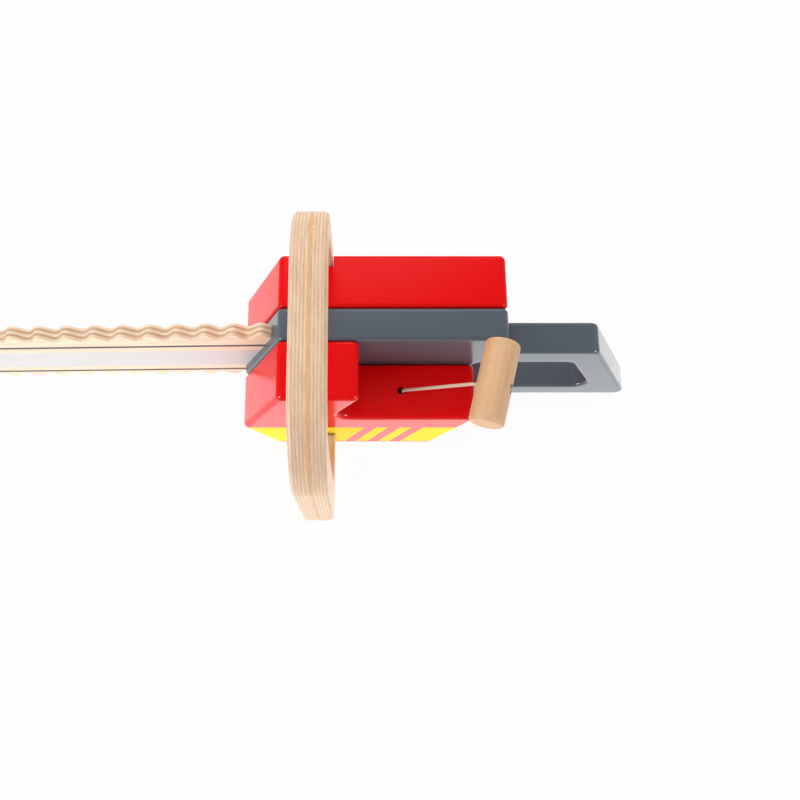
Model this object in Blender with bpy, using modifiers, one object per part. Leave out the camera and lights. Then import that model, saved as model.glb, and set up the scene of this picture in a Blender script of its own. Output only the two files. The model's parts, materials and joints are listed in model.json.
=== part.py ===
"""Wooden toy chainsaw: three-layer body, plywood blade, plywood front handle and pull-cord starter.

Frame: +X runs from the blade to the rear handle, +Y to the user's right, +Z up. The origin is the middle of
the body's flat bottom, on which the toy rests. All sizes are metres and all angles are radians.
"""
import math

import bmesh
import bpy
from mathutils import Matrix, Vector

# ---------------------------------------------------------------- driving dimensions

GAP = 0.0003                 # left between faces that touch or are glued
RUNNING_CLEARANCE = 0.0005   # between a turning piece and its neighbour

# Body: a left, a centre and a right layer with one side outline
BODY_HEIGHT = 0.095
BODY_BOTTOM_LENGTH = 0.0878
REAR_OVERHANG = 0.0313       # the rear face leans back by this much over the body's height
FRONT_TOP_SETBACK = 0.0080   # front edge of the top, behind the front edge of the bottom
NOSE_REACH = 0.0147          # front corner, ahead of the front edge of the bottom
NOSE_DEPTH = 0.0575          # of the front corner, below the body's top
LEFT_WIDTH = 0.0290
CENTRE_WIDTH = 0.0164
RIGHT_WIDTH = 0.0274
CORNER_RADIUS = 0.0034
OUTER_ROUNDING = 0.0029      # rounded rim of the red blocks' outer faces
SEAM_ROUNDING = 0.0020       # rounded rims along the glue lines

# Step in the left layer, with the cord hole in its floor
STEP_HEIGHT = 0.058
RAISED_LENGTH = 0.0396       # length of the raised front, along the top
UNDERCUT_ANGLE = math.radians(21.5)
STEP_FILLET = 0.007
CORD_HOLE_X = 0.0242
CORD_HOLE_INSET = 0.015      # from the left face
CORD_HOLE_DIAMETER = 0.0043

# Rear D-handle, one piece with the centre layer
GRIP_TOP = 0.0755            # top of the upper bar
GRIP_BAR_HEIGHT = 0.0167
GRIP_LOWER_BAR = 0.015
GRIP_END = 0.1575            # rear end of the lower bar
GRIP_REAR_SLOPE = 0.478      # the rear bar leans forward by this much for each unit of height
GRIP_REAR_WIDTH = 0.0172     # of the rear bar, measured along X
GRIP_STEP_FILLET = 0.004
GRIP_OUTER_RADIUS = 0.0045
GRIP_INNER_RADIUS = 0.007
GRIP_ROUNDING = 0.0020

# Front handle: one plywood plate in the shape of a C
PLATE_THICKNESS = 0.015
PLATE_FRONT = -0.0255
PLATE_ROUNDING = 0.0020
HOOP_TOP = 0.1693
HOOP_BAR_HEIGHT = 0.0167
HOOP_LEFT = -0.0867
NEAR_LEG_WIDTH = 0.0212
ARM_HEIGHT = 0.0245
HOOP_CORNER_RADIUS = 0.041
HOOP_INNER_RADIUS = 0.022
ARM_CORNER_RADIUS = 0.0495
ARM_INNER_RADIUS = 0.024
FAR_LEG_WIDTH = 0.0130
FAR_LEG_SPLAY = math.radians(10.6)
LEG_BEND_RADIUS = 0.030
TAB_DEPTH = 0.060            # of the tab's end, below the body's top
TAB_CORNER_RADIUS = 0.004
CHANNEL_DEPTH = 0.0065
CHANNEL_CLEARANCE = 0.0005

# Blade
BLADE_THICKNESS = 0.0065
BLADE_WIDTH = 0.0630         # over the crests
BLADE_REACH = 0.192          # from the body's front face to the nose
BLADE_AXIS_DEPTH = 0.0390    # of the centre line where it meets the body, below the body's top
BLADE_DROOP = math.radians(2.35)
WAVE_PITCH = 0.0137
WAVE_DEPTH = 0.0052
WAVE_FIRST_CREST = 0.0065    # first crest of the upper edge, ahead of the body
WAVE_POINTS = 8              # points on each wave
BLADE_ROUNDING = 0.0008
TANG_LENGTH = 0.034
TANG_WIDTH = 0.042

# Dowels and pins
DOWEL_DIAMETER = 0.008
DOWEL_BITE = 0.012           # depth of a body dowel in each outer layer
DOWEL_EDGE = 0.009           # from a dowel's axis to the nearest level edge
DOWEL_INSET = 0.0105         # from a dowel's axis to the front or rear face
BLADE_DOWEL_SPREAD = 0.022
BLADE_DOWEL_DEPTH = 0.015    # along the tang
ARM_DOWEL_DIAMETER = 0.006
ARM_DOWEL_LENGTH = 0.022
ARM_DOWEL_SPREAD = 0.011
LEG_PIN_DIAMETER = 0.006
LEG_PIN_BITE = 0.010         # depth in the right layer, below the channel's floor
LEG_PIN_SPREAD = 0.022
LEG_PIN_EDGE = 0.026         # upper pin, below the body's top

# Starter
CORD_DIAMETER = 0.0016
REEL_CORD_RADIUS = 0.011     # from the reel's axis to the middle of the cord
REEL_HEIGHT = 0.029
FLANGE_RADIUS = 0.0145
FLANGE_THICKNESS = 0.0015
RATCHET_RADIUS = 0.0150
RATCHET_TEETH = 24
TOOTH_DEPTH = 0.0009
POCKET_RADIUS = 0.0175
ARBOR_RADIUS = 0.0045
AXLE_RADIUS = 0.0020
AXLE_BITE = 0.005            # depth of the axle in the left layer
SPRING_THICKNESS = 0.0004
SPRING_TURNS = 5
CUP_WALL = 0.0013
COVER_RADIUS = 0.0227
COVER_THICKNESS = 0.0020
SCREW_RADIUS = 0.0010
SCREW_HEAD_RADIUS = 0.0018
SCREW_LENGTH = 0.010
REED_THICKNESS = 0.0005
REED_WIDTH = 0.0030
REED_LENGTH = 0.0145

# Toggle, in the pulled-out position
TOGGLE_DIAMETER = 0.0162
TOGGLE_LENGTH = 0.0394
TOGGLE_ROUNDING = 0.0018
TOGGLE_BORE_DIAMETER = 0.0026
TOGGLE_BORE_OFFSET = 0.0019  # from the middle of the toggle's length
TOGGLE_BORE_TILT = math.radians(20)   # of the bore, up towards the knot
TOGGLE_X = 0.0629            # of the middle of the bore
TOGGLE_Y = -0.0339
TOGGLE_Z = 0.107
TOGGLE_HEADING = math.radians(75.8)   # of the toggle's length, from +X towards +Y
KNOT_RADIUS = 0.0022
KNOT_RECESS_DIAMETER = 0.0052
KNOT_RECESS_DEPTH = 0.0044
CORD_TAIL = 0.0008           # cord that shows between the toggle and the bend
CORD_BEND = 0.0013           # from the ends of the bend to the corner that it rounds
CORD_STEPS = 13              # points along the straight pull, and then round the bend
BEND_STEPS = 4

# ---------------------------------------------------------------- places worked out from them

BODY_WIDTH = LEFT_WIDTH + CENTRE_WIDTH + RIGHT_WIDTH + 2 * GAP
LEFT_FACE = -BODY_WIDTH / 2
LEFT_SEAM = LEFT_FACE + LEFT_WIDTH
CENTRE_LEFT = LEFT_SEAM + GAP
CENTRE_RIGHT = CENTRE_LEFT + CENTRE_WIDTH
RIGHT_SEAM = CENTRE_RIGHT + GAP
RIGHT_FACE = RIGHT_SEAM + RIGHT_WIDTH
CENTRE_Y = (CENTRE_LEFT + CENTRE_RIGHT) / 2
BOTTOM_FRONT = -BODY_BOTTOM_LENGTH / 2
BOTTOM_REAR = BODY_BOTTOM_LENGTH / 2
TOP_FRONT = BOTTOM_FRONT + FRONT_TOP_SETBACK
TOP_REAR = BOTTOM_REAR + REAR_OVERHANG
NOSE = BOTTOM_FRONT - NOSE_REACH
NOSE_HEIGHT = BODY_HEIGHT - NOSE_DEPTH
PLATE_REAR = PLATE_FRONT + PLATE_THICKNESS
PLATE_MIDDLE = (PLATE_FRONT + PLATE_REAR) / 2
CHANNEL_FLOOR = RIGHT_FACE - CHANNEL_DEPTH
TAB_INNER = CHANNEL_FLOOR + GAP
TAB_OUTER = TAB_INNER + FAR_LEG_WIDTH
TAB_END_HEIGHT = BODY_HEIGHT - TAB_DEPTH
BLADE_AXIS_HEIGHT = BODY_HEIGHT - BLADE_AXIS_DEPTH

CORD_RADIUS = CORD_DIAMETER / 2
CORD_HOLE_Y = LEFT_FACE + CORD_HOLE_INSET
REEL_X = CORD_HOLE_X - REEL_CORD_RADIUS
COVER_TOP = LEFT_SEAM - RUNNING_CLEARANCE
COVER_BOTTOM = COVER_TOP - COVER_THICKNESS
COVER_LEDGE = COVER_BOTTOM - GAP
GROOVE_TOP = CORD_HOLE_Y + CORD_RADIUS + GAP
GROOVE_BOTTOM = GROOVE_TOP - 2 * CORD_DIAMETER - 3 * GAP
STORED_CORD_Y = GROOVE_BOTTOM + GAP + CORD_RADIUS
DRUM_RADIUS = REEL_CORD_RADIUS - CORD_RADIUS - GAP
RATCHET_TOP = GROOVE_TOP + FLANGE_THICKNESS
FLANGE_BOTTOM = GROOVE_BOTTOM - FLANGE_THICKNESS
REEL_BOTTOM = FLANGE_BOTTOM - FLANGE_THICKNESS
REEL_TOP = COVER_BOTTOM - GAP
POCKET_FLOOR = REEL_BOTTOM - GAP
CUP_BOTTOM = RATCHET_TOP + RUNNING_CLEARANCE
CUP_INNER_RADIUS = RATCHET_RADIUS - CUP_WALL - RUNNING_CLEARANCE
SCREW_CIRCLE = (POCKET_RADIUS + COVER_RADIUS) / 2

TOGGLE_RADIUS = TOGGLE_DIAMETER / 2
TOGGLE_CENTRE = Vector((TOGGLE_X, TOGGLE_Y, TOGGLE_Z))
BORE_DIRECTION = Vector((math.sin(TOGGLE_HEADING) * math.cos(TOGGLE_BORE_TILT),
                         -math.cos(TOGGLE_HEADING) * math.cos(TOGGLE_BORE_TILT), math.sin(TOGGLE_BORE_TILT)))
CORD_END = TOGGLE_CENTRE - BORE_DIRECTION * (TOGGLE_RADIUS + CORD_TAIL)
CORD_CORNER = CORD_END - BORE_DIRECTION * CORD_BEND
# The taut cord lies against the side of its hole towards which it is pulled
CORD_PLAY = (CORD_HOLE_DIAMETER - CORD_DIAMETER) / 2 - GAP
CORD_LEAN = (TOGGLE_CENTRE.xy - Vector((CORD_HOLE_X, CORD_HOLE_Y))).normalized() * CORD_PLAY
CORD_START = Vector((CORD_HOLE_X + CORD_LEAN.x, CORD_HOLE_Y + CORD_LEAN.y, STEP_HEIGHT + CORD_RADIUS))

# From an outline's own plane to the world: (u, v) is (X, Z) for a side outline, (Y, Z) for a front one
SIDE_VIEW = Matrix(((1, 0, 0, 0), (0, 0, -1, 0), (0, 1, 0, 0), (0, 0, 0, 1)))
FRONT_VIEW = Matrix(((0, 0, 1, 0), (1, 0, 0, 0), (0, 1, 0, 0), (0, 0, 0, 1)))
# From a turned shape's axis, local Z, to world +Y
ALONG_Y = Matrix.Rotation(math.radians(-90), 4, "X")

ARC_STEP = math.radians(15)


def front_x(z):
    """X of the body's front face at height z."""
    if z < NOSE_HEIGHT:
        return BOTTOM_FRONT - NOSE_REACH * z / NOSE_HEIGHT
    return NOSE + (TOP_FRONT - NOSE) * (z - NOSE_HEIGHT) / (BODY_HEIGHT - NOSE_HEIGHT)


def rear_x(z):
    """X of the body's rear face at height z."""
    return BOTTOM_REAR + REAR_OVERHANG * z / BODY_HEIGHT


def undercut_x(z):
    """X of the raised front's leaning rear wall at height z."""
    return TOP_FRONT + RAISED_LENGTH - (BODY_HEIGHT - z) * math.tan(UNDERCUT_ANGLE)


def grip_rear_x(z):
    """X of the D-handle's outer rear face at height z."""
    return GRIP_END - GRIP_REAR_SLOPE * z


# ---------------------------------------------------------------- modelling helpers

def clear_scene():
    for item in list(bpy.data.objects):
        bpy.data.objects.remove(item)


def make_collection(name):
    group = bpy.data.collections.new(name)
    bpy.context.scene.collection.children.link(group)
    return group


def material(name, colour, roughness, metallic=0.0):
    surface = bpy.data.materials.new(name)
    surface.use_nodes = True
    shader = surface.node_tree.nodes["Principled BSDF"]
    shader.inputs["Base Color"].default_value = (*colour, 1.0)
    shader.inputs["Roughness"].default_value = roughness
    shader.inputs["Metallic"].default_value = metallic
    return surface


def place(obj, group, matrix=None):
    """Put an object in one collection, at a matrix if one is given."""
    for holder in list(obj.users_collection):
        holder.objects.unlink(obj)
    group.objects.link(obj)
    if matrix is not None:
        obj.matrix_world = matrix
    return obj


def finish_part(obj, surface):
    obj.data.materials.clear()
    obj.data.materials.append(surface)
    return obj


def rounded(corners):
    """Closed outline from (u, v, radius) corners, with a tangent arc at each radius above zero."""
    points = []
    for index, (u, v, radius) in enumerate(corners):
        corner = Vector((u, v))
        if radius == 0:
            points.append(corner)
            continue
        before = (Vector(corners[index - 1][:2]) - corner).normalized()
        after = (Vector(corners[(index + 1) % len(corners)][:2]) - corner).normalized()
        half = before.angle(after) / 2
        turn = math.pi - 2 * half
        side = 1 if after.x * before.y - after.y * before.x > 0 else -1
        centre = corner + (before + after).normalized() * radius / math.sin(half)
        spoke = corner + before * radius / math.tan(half) - centre
        count = max(2, round(turn / ARC_STEP))
        for number in range(count + 1):
            points.append(centre + Matrix.Rotation(side * turn * number / count, 2) @ spoke)
    return points


def outline_solid(name, loops, thickness, matrix, group, rounding=0.0):
    """Solid plate from closed outlines, with both rims rounded alike: a filled 2D curve, made a mesh."""
    curve = bpy.data.curves.new(name, "CURVE")
    curve.dimensions = "2D"
    curve.fill_mode = "BOTH"
    curve.extrude = thickness / 2 - rounding
    curve.bevel_depth = rounding
    curve.bevel_resolution = 1
    curve.offset = -rounding
    for loop in loops:
        spline = curve.splines.new("POLY")
        spline.points.add(len(loop) - 1)
        spline.use_cyclic_u = True
        for point, (u, v) in zip(spline.points, loop):
            point.co = (u, v, 0.0, 1.0)
    drawing = place(bpy.data.objects.new(name + "_outline", curve), group, matrix)
    solid = mesh_from_curve(name, drawing, group)
    flatten_caps(solid.data)
    return solid


def mesh_from_curve(name, drawing, group):
    """Mesh object with a curve object's shape and place; the curve is removed."""
    bpy.context.view_layer.update()
    depsgraph = bpy.context.evaluated_depsgraph_get()
    mesh = bpy.data.meshes.new_from_object(drawing.evaluated_get(depsgraph))
    mesh.name = name
    solid = place(bpy.data.objects.new(name, mesh), group, drawing.matrix_world.copy())
    bpy.data.objects.remove(drawing)
    work = bmesh.new()
    work.from_mesh(mesh)
    bmesh.ops.remove_doubles(work, verts=work.verts, dist=0.00001)
    bmesh.ops.recalc_face_normals(work, faces=work.faces)
    work.to_mesh(mesh)
    work.free()
    return solid


def flatten_caps(mesh):
    """Dissolve the triangles of the flat caps, so that a bevel finds only real edges."""
    work = bmesh.new()
    work.from_mesh(mesh)
    bmesh.ops.dissolve_limit(work, angle_limit=0.001, verts=work.verts, edges=work.edges)
    work.to_mesh(mesh)
    work.free()


def round_rims(solid, width, share_at, segments=2):
    """Bevel a plate's rims: share_at gives the part of the width for the edge at a world point."""
    work = bmesh.new()
    work.from_mesh(solid.data)
    layer = work.edges.layers.float.new("bevel_weight_edge")
    for edge in work.edges:
        start, end = (vert.co for vert in edge.verts)
        if len(edge.link_faces) < 2 or abs(start.z - end.z) > GAP or edge.calc_face_angle() < ARC_STEP:
            continue
        edge[layer] = share_at(solid.matrix_world @ ((start + end) / 2))
    work.to_mesh(solid.data)
    work.free()
    bevel = solid.modifiers.new("rounded rims", "BEVEL")
    bevel.limit_method = "WEIGHT"
    bevel.width = width
    bevel.segments = segments
    bevel.use_clamp_overlap = False


def turned(name, profile, steps, matrix, group):
    """Solid of revolution about the object's Z, from a profile of (radius, height) points."""
    mesh = bpy.data.meshes.new(name)
    closed = profile[0][0] > 0
    edges = [(index, index + 1) for index in range(len(profile) - 1)]
    if closed:
        edges.append((len(profile) - 1, 0))
    mesh.from_pydata([(radius, 0.0, height) for radius, height in profile], edges, [])
    solid = place(bpy.data.objects.new(name, mesh), group, matrix)
    screw = solid.modifiers.new("turned", "SCREW")
    screw.steps = steps
    screw.render_steps = steps
    screw.use_merge_vertices = True
    screw.merge_threshold = 0.00001
    screw.use_smooth_shade = True
    return solid


def rod(name, radius, start, end, matrix, group, edge=0.0, steps=24):
    """Turned rod between two heights on the matrix's Z axis, with chamfered ends."""
    if edge == 0:
        profile = [(0, end), (radius, end), (radius, start), (0, start)]
    else:
        profile = [(0, end), (radius - edge, end), (radius, end - edge),
                   (radius, start + edge), (radius - edge, start), (0, start)]
    return turned(name, profile, steps, matrix, group)


def cord_tube(name, points, group):
    """Round cord along world points."""
    curve = bpy.data.curves.new(name, "CURVE")
    curve.dimensions = "3D"
    curve.bevel_depth = CORD_RADIUS
    curve.bevel_resolution = 2
    curve.use_fill_caps = True
    spline = curve.splines.new("POLY")
    spline.points.add(len(points) - 1)
    for point, place_on_route in zip(spline.points, points):
        point.co = (*place_on_route, 1.0)
    return place(bpy.data.objects.new(name, curve), group)


def as_cutter(obj):
    obj.hide_render = True
    obj.display_type = "WIRE"
    return obj


def cut(solid, cutter, operation="DIFFERENCE"):
    boolean = solid.modifiers.new(cutter.name, "BOOLEAN")
    boolean.operation = operation
    boolean.solver = "EXACT"
    boolean.object = as_cutter(cutter)


def along_y(x, z):
    """Place of a turned piece whose axis is parallel to Y."""
    return Matrix.Translation((x, 0.0, z)) @ ALONG_Y


# ---------------------------------------------------------------- body

def body_corners():
    """Side outline that all three layers share, from the bottom front round to the nose."""
    return {
        "bottom_front": (BOTTOM_FRONT, 0.0, CORNER_RADIUS),
        "bottom_rear": (BOTTOM_REAR, 0.0, CORNER_RADIUS),
        "top_rear": (TOP_REAR, BODY_HEIGHT, CORNER_RADIUS),
        "top_front": (TOP_FRONT, BODY_HEIGHT, CORNER_RADIUS),
        "nose": (NOSE, NOSE_HEIGHT, CORNER_RADIUS),
    }


def layer_place(low, high):
    return Matrix.Translation((0.0, (low + high) / 2, 0.0)) @ SIDE_VIEW


def block_rounding(outer_face):
    """Rim rule of an outer block: full rounding on the outer face, a broken edge on the seam."""
    def share(point):
        if abs(point.y - outer_face) < OUTER_ROUNDING:
            return 1.0
        return SEAM_ROUNDING / OUTER_ROUNDING
    return share


def right_side_block(parts, cutters, surface):
    corners = list(body_corners().values())
    block = outline_solid("right_side_block", [rounded(corners)], RIGHT_WIDTH,
                          layer_place(RIGHT_SEAM, RIGHT_FACE), parts)
    round_rims(block, OUTER_ROUNDING, block_rounding(RIGHT_FACE))
    bpy.ops.mesh.primitive_cube_add(size=1)
    channel = place(bpy.context.object, cutters)
    channel.name = "handle_channel"
    low = TAB_END_HEIGHT - CHANNEL_CLEARANCE
    high = BODY_HEIGHT + CHANNEL_DEPTH
    channel.scale = (PLATE_THICKNESS + 2 * CHANNEL_CLEARANCE, 2 * CHANNEL_DEPTH, high - low)
    channel.location = (PLATE_MIDDLE, RIGHT_FACE, (low + high) / 2)
    cut(block, channel)
    return finish_part(block, surface)


def left_side_block(parts, cutters, surface):
    corners = body_corners()
    step = [(rear_x(STEP_HEIGHT), STEP_HEIGHT, CORNER_RADIUS),
            (undercut_x(STEP_HEIGHT), STEP_HEIGHT, STEP_FILLET),
            (undercut_x(BODY_HEIGHT), BODY_HEIGHT, CORNER_RADIUS)]
    outline = [corners["bottom_front"], corners["bottom_rear"], *step, corners["top_front"], corners["nose"]]
    block = outline_solid("left_side_block", [rounded(outline)], LEFT_WIDTH,
                          layer_place(LEFT_FACE, LEFT_SEAM), parts)
    round_rims(block, OUTER_ROUNDING, block_rounding(LEFT_FACE))
    beyond_seam = LEFT_SEAM + GAP
    counterbore = COVER_RADIUS + GAP
    pocket = turned("reel_pocket", [(0, beyond_seam), (counterbore, beyond_seam), (counterbore, COVER_LEDGE),
                                    (POCKET_RADIUS, COVER_LEDGE), (POCKET_RADIUS, POCKET_FLOOR),
                                    (0, POCKET_FLOOR)], 48, along_y(REEL_X, REEL_HEIGHT), cutters)
    cut(block, pocket)
    hole = rod("cord_hole", CORD_HOLE_DIAMETER / 2, REEL_HEIGHT + REEL_CORD_RADIUS, STEP_HEIGHT + GAP,
               Matrix.Translation((CORD_HOLE_X, CORD_HOLE_Y, 0.0)), cutters)
    cut(block, hole)
    cut(block, rod("axle_hole", AXLE_RADIUS + GAP, POCKET_FLOOR - AXLE_BITE, POCKET_FLOOR + GAP,
                   along_y(REEL_X, REEL_HEIGHT), cutters))
    cut(block, reed_box("reed_slot", GAP, cutters))
    for number, place_of_screw in enumerate(cover_screw_places(), 1):
        cut(block, rod(f"screw_hole_{number}", SCREW_RADIUS + GAP, COVER_TOP - SCREW_LENGTH - GAP,
                       COVER_LEDGE + GAP, place_of_screw, cutters, steps=12))
    return finish_part(block, surface)


def centre_body(parts, cutters, surface):
    """Centre layer: a slab with the body's outline, joined to the D-shaped grip behind it."""
    slab = outline_solid("centre_body", [rounded(list(body_corners().values()))], CENTRE_WIDTH,
                         layer_place(CENTRE_LEFT, CENTRE_RIGHT), parts, SEAM_ROUNDING)
    cut(slab, rear_grip(cutters), "UNION")
    slot = outline_solid("blade_slot", [tang_outline(GAP)], BLADE_THICKNESS + 2 * GAP,
                         blade_place(), cutters)
    cut(slab, slot)
    return finish_part(slab, surface)


def rear_grip(group):
    """D-shaped ring with well rounded rims, which reaches into the slab by its own bar width."""
    bar_bottom = GRIP_TOP - GRIP_BAR_HEIGHT
    step_top = GRIP_TOP + 2 * GRIP_STEP_FILLET
    outline = rounded([
        (rear_x(0.0) - GRIP_REAR_WIDTH, 2 * GAP, 0),
        (rear_x(0.0), 2 * GAP, 0),
        (rear_x(0.0) + GAP, 0.0, 0),
        (grip_rear_x(0.0), 0.0, GRIP_OUTER_RADIUS),
        (grip_rear_x(GRIP_TOP), GRIP_TOP, GRIP_OUTER_RADIUS),
        (rear_x(GRIP_TOP), GRIP_TOP, GRIP_STEP_FILLET),
        (rear_x(step_top) - GAP, step_top, 0),
        (rear_x(step_top) - GRIP_REAR_WIDTH, step_top, 0),
    ])
    opening = rounded([
        (rear_x(GRIP_LOWER_BAR) + GAP, GRIP_LOWER_BAR, GRIP_INNER_RADIUS),
        (grip_rear_x(GRIP_LOWER_BAR) - GRIP_REAR_WIDTH, GRIP_LOWER_BAR, GRIP_INNER_RADIUS),
        (grip_rear_x(bar_bottom) - GRIP_REAR_WIDTH, bar_bottom, GRIP_INNER_RADIUS),
        (rear_x(bar_bottom) + GAP, bar_bottom, GRIP_INNER_RADIUS),
    ])
    return outline_solid("rear_grip", [outline, opening], CENTRE_WIDTH - 2 * GAP,
                         layer_place(CENTRE_LEFT, CENTRE_RIGHT), group, GRIP_ROUNDING)


# ---------------------------------------------------------------- blade

def blade_place():
    """Blade frame: u runs back along the centre line from the body's front face, v across it."""
    root = Matrix.Translation((front_x(BLADE_AXIS_HEIGHT), CENTRE_Y, BLADE_AXIS_HEIGHT))
    return root @ Matrix.Rotation(-BLADE_DROOP, 4, "Y") @ SIDE_VIEW


def on_front_face(v):
    """Point of the body's front face, in the blade frame, at a distance v from the centre line."""
    low, high = 0.0, BODY_HEIGHT
    to_blade = blade_place().inverted()
    for _ in range(40):
        z = (low + high) / 2
        point = to_blade @ Vector((front_x(z) - GAP, CENTRE_Y, z))
        if point.y < v:
            low = z
        else:
            high = z
    return point.xy


def tang_outline(margin):
    """Tang, or with a margin the mortise for it, which starts ahead of the body's front face."""
    half = TANG_WIDTH / 2 + margin
    front = -BLADE_WIDTH / 2
    return [(front, -half), (TANG_LENGTH + margin, -half), (TANG_LENGTH + margin, half), (front, half)]


def wave_edge(upper_end, lower_end):
    """Wavy outline from the upper shoulder round the nose to the lower one."""
    radius = BLADE_WIDTH / 2
    nose_centre = radius - BLADE_REACH
    straight = upper_end - nose_centre
    arc = math.pi * radius
    total = straight + arc + (lower_end - nose_centre)
    crest = upper_end + WAVE_FIRST_CREST
    count = round(total / WAVE_PITCH * WAVE_POINTS)
    points = []
    for number in range(count + 1):
        s = total * number / count
        dip = WAVE_DEPTH * (1 - math.cos(2 * math.pi * (s - crest) / WAVE_PITCH)) / 2
        reach = radius - dip
        if s < straight:
            points.append(Vector((upper_end - s, reach)))
        elif s < straight + arc:
            angle = (s - straight) / radius
            points.append(Vector((nose_centre - reach * math.sin(angle), reach * math.cos(angle))))
        else:
            points.append(Vector((nose_centre + s - straight - arc, -reach)))
    return points


def saw_blade(parts, surface):
    half = TANG_WIDTH / 2
    upper = on_front_face(BLADE_WIDTH / 2)
    lower = on_front_face(-BLADE_WIDTH / 2)
    wave = [point for point in wave_edge(upper.x, lower.x)
            if point.x < on_front_face(point.y).x - 2 * BLADE_ROUNDING]
    tang = [on_front_face(wave[-1].y), on_front_face(-half), Vector((TANG_LENGTH, -half)),
            Vector((TANG_LENGTH, half)), on_front_face(half), on_front_face(wave[0].y)]
    outline = wave + tang
    blade = outline_solid("saw_blade", [outline], BLADE_THICKNESS, blade_place(), parts, BLADE_ROUNDING)
    return finish_part(blade, surface)


# ---------------------------------------------------------------- front handle

def front_handle(parts, surface):
    inner_left = HOOP_LEFT + NEAR_LEG_WIDTH
    underside = HOOP_TOP - HOOP_BAR_HEIGHT
    arm_end = LEFT_FACE - GAP
    lean = math.tan(FAR_LEG_SPLAY)
    outline = rounded([
        (arm_end, 0.0, 0),
        (arm_end, ARM_HEIGHT, 0),
        (inner_left, ARM_HEIGHT, ARM_INNER_RADIUS),
        (inner_left, underside, HOOP_INNER_RADIUS),
        (TAB_INNER - (underside - BODY_HEIGHT) * lean, underside, HOOP_INNER_RADIUS),
        (TAB_INNER, BODY_HEIGHT, LEG_BEND_RADIUS),
        (TAB_INNER, TAB_END_HEIGHT, TAB_CORNER_RADIUS),
        (TAB_OUTER, TAB_END_HEIGHT, TAB_CORNER_RADIUS),
        (TAB_OUTER, BODY_HEIGHT, LEG_BEND_RADIUS),
        (TAB_OUTER - (HOOP_TOP - BODY_HEIGHT) * lean, HOOP_TOP, HOOP_CORNER_RADIUS),
        (HOOP_LEFT, HOOP_TOP, HOOP_CORNER_RADIUS),
        (HOOP_LEFT, 0.0, ARM_CORNER_RADIUS),
    ])
    place_of_plate = Matrix.Translation((PLATE_MIDDLE, 0.0, 0.0)) @ FRONT_VIEW
    handle = outline_solid("front_handle", [outline], PLATE_THICKNESS, place_of_plate, parts)

    def share(point):
        return 0.0 if point.y > arm_end - GAP and point.y < 0 and point.z < BODY_HEIGHT / 2 else 1.0
    round_rims(handle, PLATE_ROUNDING, share)
    return finish_part(handle, surface)


# ---------------------------------------------------------------- dowels and pins

def body_dowel_places():
    upper = BODY_HEIGHT - DOWEL_EDGE
    step = STEP_HEIGHT - DOWEL_EDGE
    return [
        ((front_x(upper) + undercut_x(upper)) / 2, upper),
        (front_x(DOWEL_EDGE) + DOWEL_INSET, DOWEL_EDGE),
        (rear_x(DOWEL_EDGE) - DOWEL_INSET, DOWEL_EDGE),
        (rear_x(step) - DOWEL_INSET, step),
    ]


def blade_dowel_places():
    matrix = blade_place()
    places = []
    for side in (1, -1):
        point = matrix @ Vector((BLADE_DOWEL_DEPTH, side * BLADE_DOWEL_SPREAD / 2, 0.0))
        places.append((point.x, point.z))
    return places


def across_dowels(solids, parts, cutters, surface):
    """Dowels through the centre layer into both outer ones; solids are what they pass through."""
    start = LEFT_SEAM - DOWEL_BITE
    end = RIGHT_SEAM + DOWEL_BITE
    places = {f"body_dowel_{number}": place_of_dowel
              for number, place_of_dowel in enumerate(body_dowel_places(), 1)}
    places.update({f"blade_dowel_{number}": place_of_dowel
                   for number, place_of_dowel in enumerate(blade_dowel_places(), 1)})
    for name, (x, z) in places.items():
        dowel = rod(name, DOWEL_DIAMETER / 2, start, end, along_y(x, z), parts, edge=0.0006)
        finish_part(dowel, surface)
        hole = rod(name + "_hole", DOWEL_DIAMETER / 2 + GAP, start - GAP, end + GAP,
                   along_y(x, z), cutters)
        for solid_name, solid in solids.items():
            if solid_name == "saw_blade" and not name.startswith("blade"):
                continue
            cut(solid, hole)


def handle_dowels(left, right, handle, parts, cutters, surface):
    """Dowels from the handle's arm into the left block, and pins through its tab into the right one."""
    middle = LEFT_FACE - GAP / 2
    for number, side in enumerate((-1, 1), 1):
        z = ARM_HEIGHT / 2 + side * ARM_DOWEL_SPREAD / 2
        start = middle - ARM_DOWEL_LENGTH / 2
        end = middle + ARM_DOWEL_LENGTH / 2
        where = along_y(PLATE_MIDDLE, z)
        name = f"arm_dowel_{number}"
        finish_part(rod(name, ARM_DOWEL_DIAMETER / 2, start, end, where, parts, edge=0.0005), surface)
        hole = rod(name + "_hole", ARM_DOWEL_DIAMETER / 2 + GAP, start - GAP, end + GAP, where, cutters)
        cut(left, hole)
        cut(handle, hole)
    for number in (0, 1):
        z = BODY_HEIGHT - LEG_PIN_EDGE - number * LEG_PIN_SPREAD
        start = CHANNEL_FLOOR - LEG_PIN_BITE
        end = TAB_OUTER
        where = along_y(PLATE_MIDDLE, z)
        name = f"leg_pin_{number + 1}"
        finish_part(rod(name, LEG_PIN_DIAMETER / 2, start, end, where, parts, edge=0.0005), surface)
        hole = rod(name + "_hole", LEG_PIN_DIAMETER / 2 + GAP, start - GAP, end + PLATE_ROUNDING,
                   where, cutters)
        cut(right, hole)
        cut(handle, hole)


# ---------------------------------------------------------------- starter

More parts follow.
